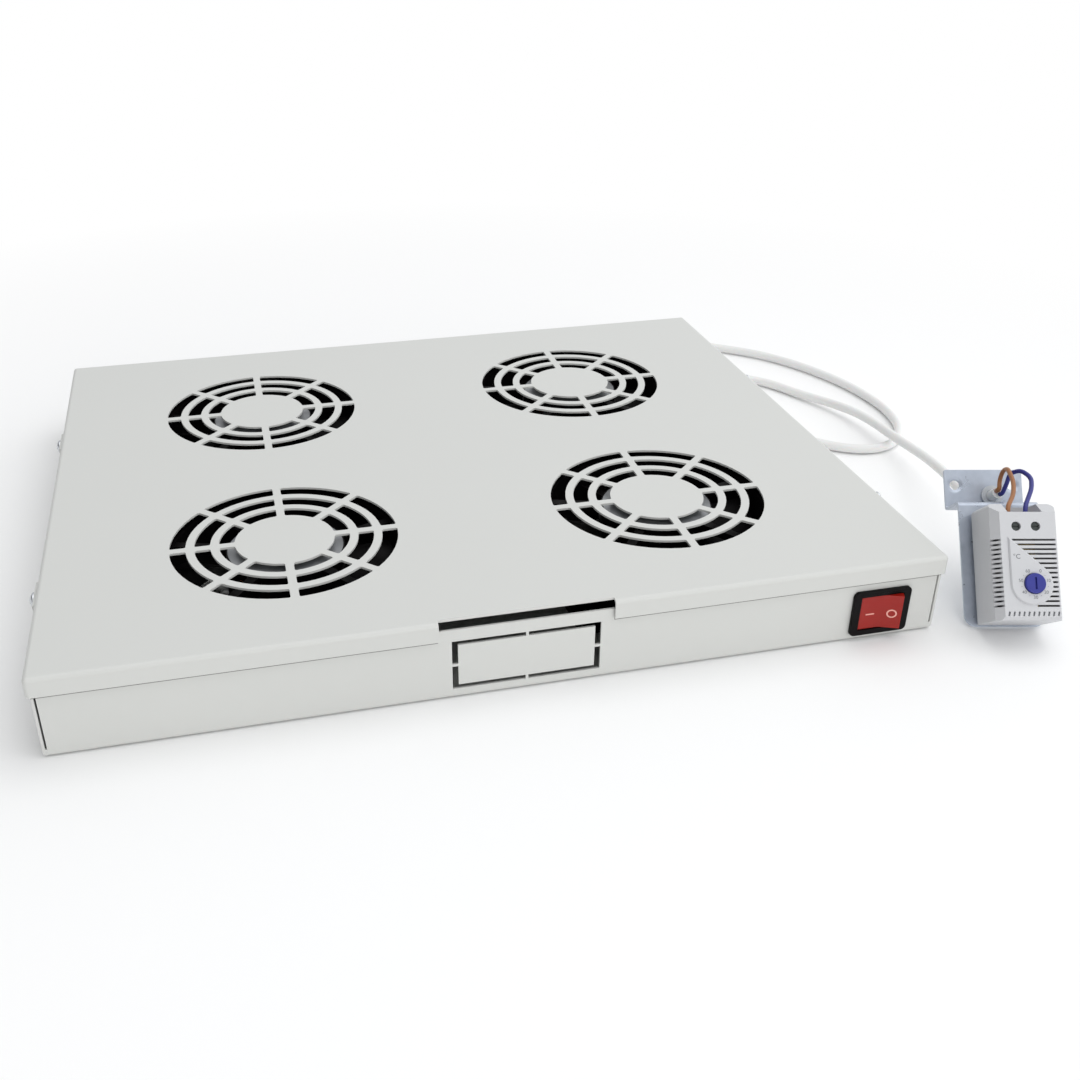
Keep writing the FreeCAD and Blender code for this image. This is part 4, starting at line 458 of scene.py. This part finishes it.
tab = {"left": 0.2095, "wall": 0.2160, "bend": 0.0010, "bottom": 0.0046, "top": 0.0326, "front": -0.1809,
       "thick": 0.0008, "edge": 0.00015}


def tabSheet(flatColumns=4, bendColumns=9, rows=15):
    # a flat strip, then a quarter turn: x = start + bend sin(angle), y = front + bend (1 - cos(angle))
    start = tab["wall"] - tab["bend"]
    flat = np.linspace(tab["left"], start, flatColumns, endpoint=False)
    angle = np.linspace(0, math.pi / 2, bendColumns)
    across = np.concatenate([flat, start + tab["bend"] * np.sin(angle)])
    inwards = tab["front"] + np.concatenate([np.zeros(flatColumns), tab["bend"] * (1 - np.cos(angle))])
    up = np.linspace(tab["bottom"], tab["top"], rows)[:, None]
    return np.stack(np.broadcast_arrays(across, inwards, up), -1)


cornerTab = inScene("corner_tab", sheetMesh("corner_tab", tabSheet()))
cornerTab.data.materials.append(materials["coated_sheet"])
wall = cornerTab.modifiers.new("thick", "SOLIDIFY")
wall.thickness = tab["thick"]
wall.offset = -1.0
bevel = cornerTab.modifiers.new("edge", "BEVEL")
bevel.width = tab["edge"]
bevel.segments = 2
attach(cornerTab, "tray")
print("corner tab folded")

# the floor turns from shaded to plain white between two distances from the tray's middle

ground = {"reach": 20.0, "below": -0.0004, "tone": (0.93, 0.93, 0.93, 1.0), "rough": 0.7, "specular": 0.2,
          "near": 0.34, "far": 0.75}
floorMesh = bpy.data.meshes.new("floor")
reach = ground["reach"]
floorMesh.from_pydata([(-reach, -reach, 0), (reach, -reach, 0), (reach, reach, 0), (-reach, reach, 0)],
                      [], [(0, 1, 2, 3)])
floor = inScene("floor", floorMesh)
floor.location.z = ground["below"]
kit = Shading("floor")
kit.to(Base_Color=ground["tone"], Roughness=ground["rough"], Specular_IOR_Level=ground["specular"])
away = kit.make("ShaderNodeVectorMath", "Value", {0: kit.place}, operation="LENGTH")
white = kit.make("ShaderNodeEmission", "Emission", {})
shown = kit.make("ShaderNodeMixShader", "Shader", {
    0: kit.span(away, ground["near"], ground["far"], 0.0, 1.0), 1: kit.shader.outputs["BSDF"], 2: white})
kit.feed(kit.tree.nodes["Material Output"].inputs["Surface"], shown)
floorMesh.materials.append(kit.material)

# the room's light is dimmer on the left, and the camera sees plain white behind everything

room = {"left": 0.25, "right": 1.35, "tone": (0.98, 0.99, 1.0, 1.0)}
world = bpy.data.worlds.new("world")
bpy.context.scene.world = world
world.use_nodes = True
sky = world.node_tree


def skyNode(kind, **inputs):
    # inputs are named with _ for a space
    node = sky.nodes.new(kind)
    for key, value in inputs.items():
        node.inputs[key.replace("_", " ")].default_value = value
    return node


coordinates = skyNode("ShaderNodeTexCoord")
axes = skyNode("ShaderNodeSeparateXYZ")
sideways = skyNode("ShaderNodeMapRange", From_Min=-1.0, To_Min=room["left"], To_Max=room["right"])
backdrop = skyNode("ShaderNodeBackground", Color=(1, 1, 1, 1), Strength=1.0)
rays = skyNode("ShaderNodeLightPath")
choice = skyNode("ShaderNodeMixShader")
soft = sky.nodes["Background"]
soft.inputs["Color"].default_value = room["tone"]
for start, end in (
        (coordinates.outputs["Generated"], axes.inputs["Vector"]),
        (axes.outputs["X"], sideways.inputs["Value"]),
        (sideways.outputs["Result"], soft.inputs["Strength"]),
        (rays.outputs["Is Camera Ray"], choice.inputs[0]),
        (soft.outputs["Background"], choice.inputs[1]),
        (backdrop.outputs["Background"], choice.inputs[2]),
        (choice.outputs["Shader"], sky.nodes["World Output"].inputs["Surface"])):
    sky.links.new(start, end)

# a large lamp above, and a warmer low one in front

lamps = {
    "key": {"place": (0.3, -0.1, 1.5), "aim": (0.0, 0.0, 0.0), "size": 1.6, "power": 8.2,
            "tone": (1.0, 1.0, 1.0)},
    "fill": {"place": (0.3, -1.9, 0.22), "aim": (0.0, 0.0, 0.04), "size": 1.2, "power": 9.0,
             "tone": (1.0, 0.985, 0.962)},
}
for name, values in lamps.items():
    lamp = bpy.data.lights.new(name, "AREA")
    lamp.shape = "SQUARE"
    lamp.size = values["size"]
    lamp.energy = values["power"]
    lamp.color = values["tone"]
    holder = inScene(name, lamp)
    holder.location = values["place"]
    holder.rotation_euler = (Vector(values["aim"]) - holder.location).to_track_quat("-Z", "Y").to_euler()
print("studio ready")
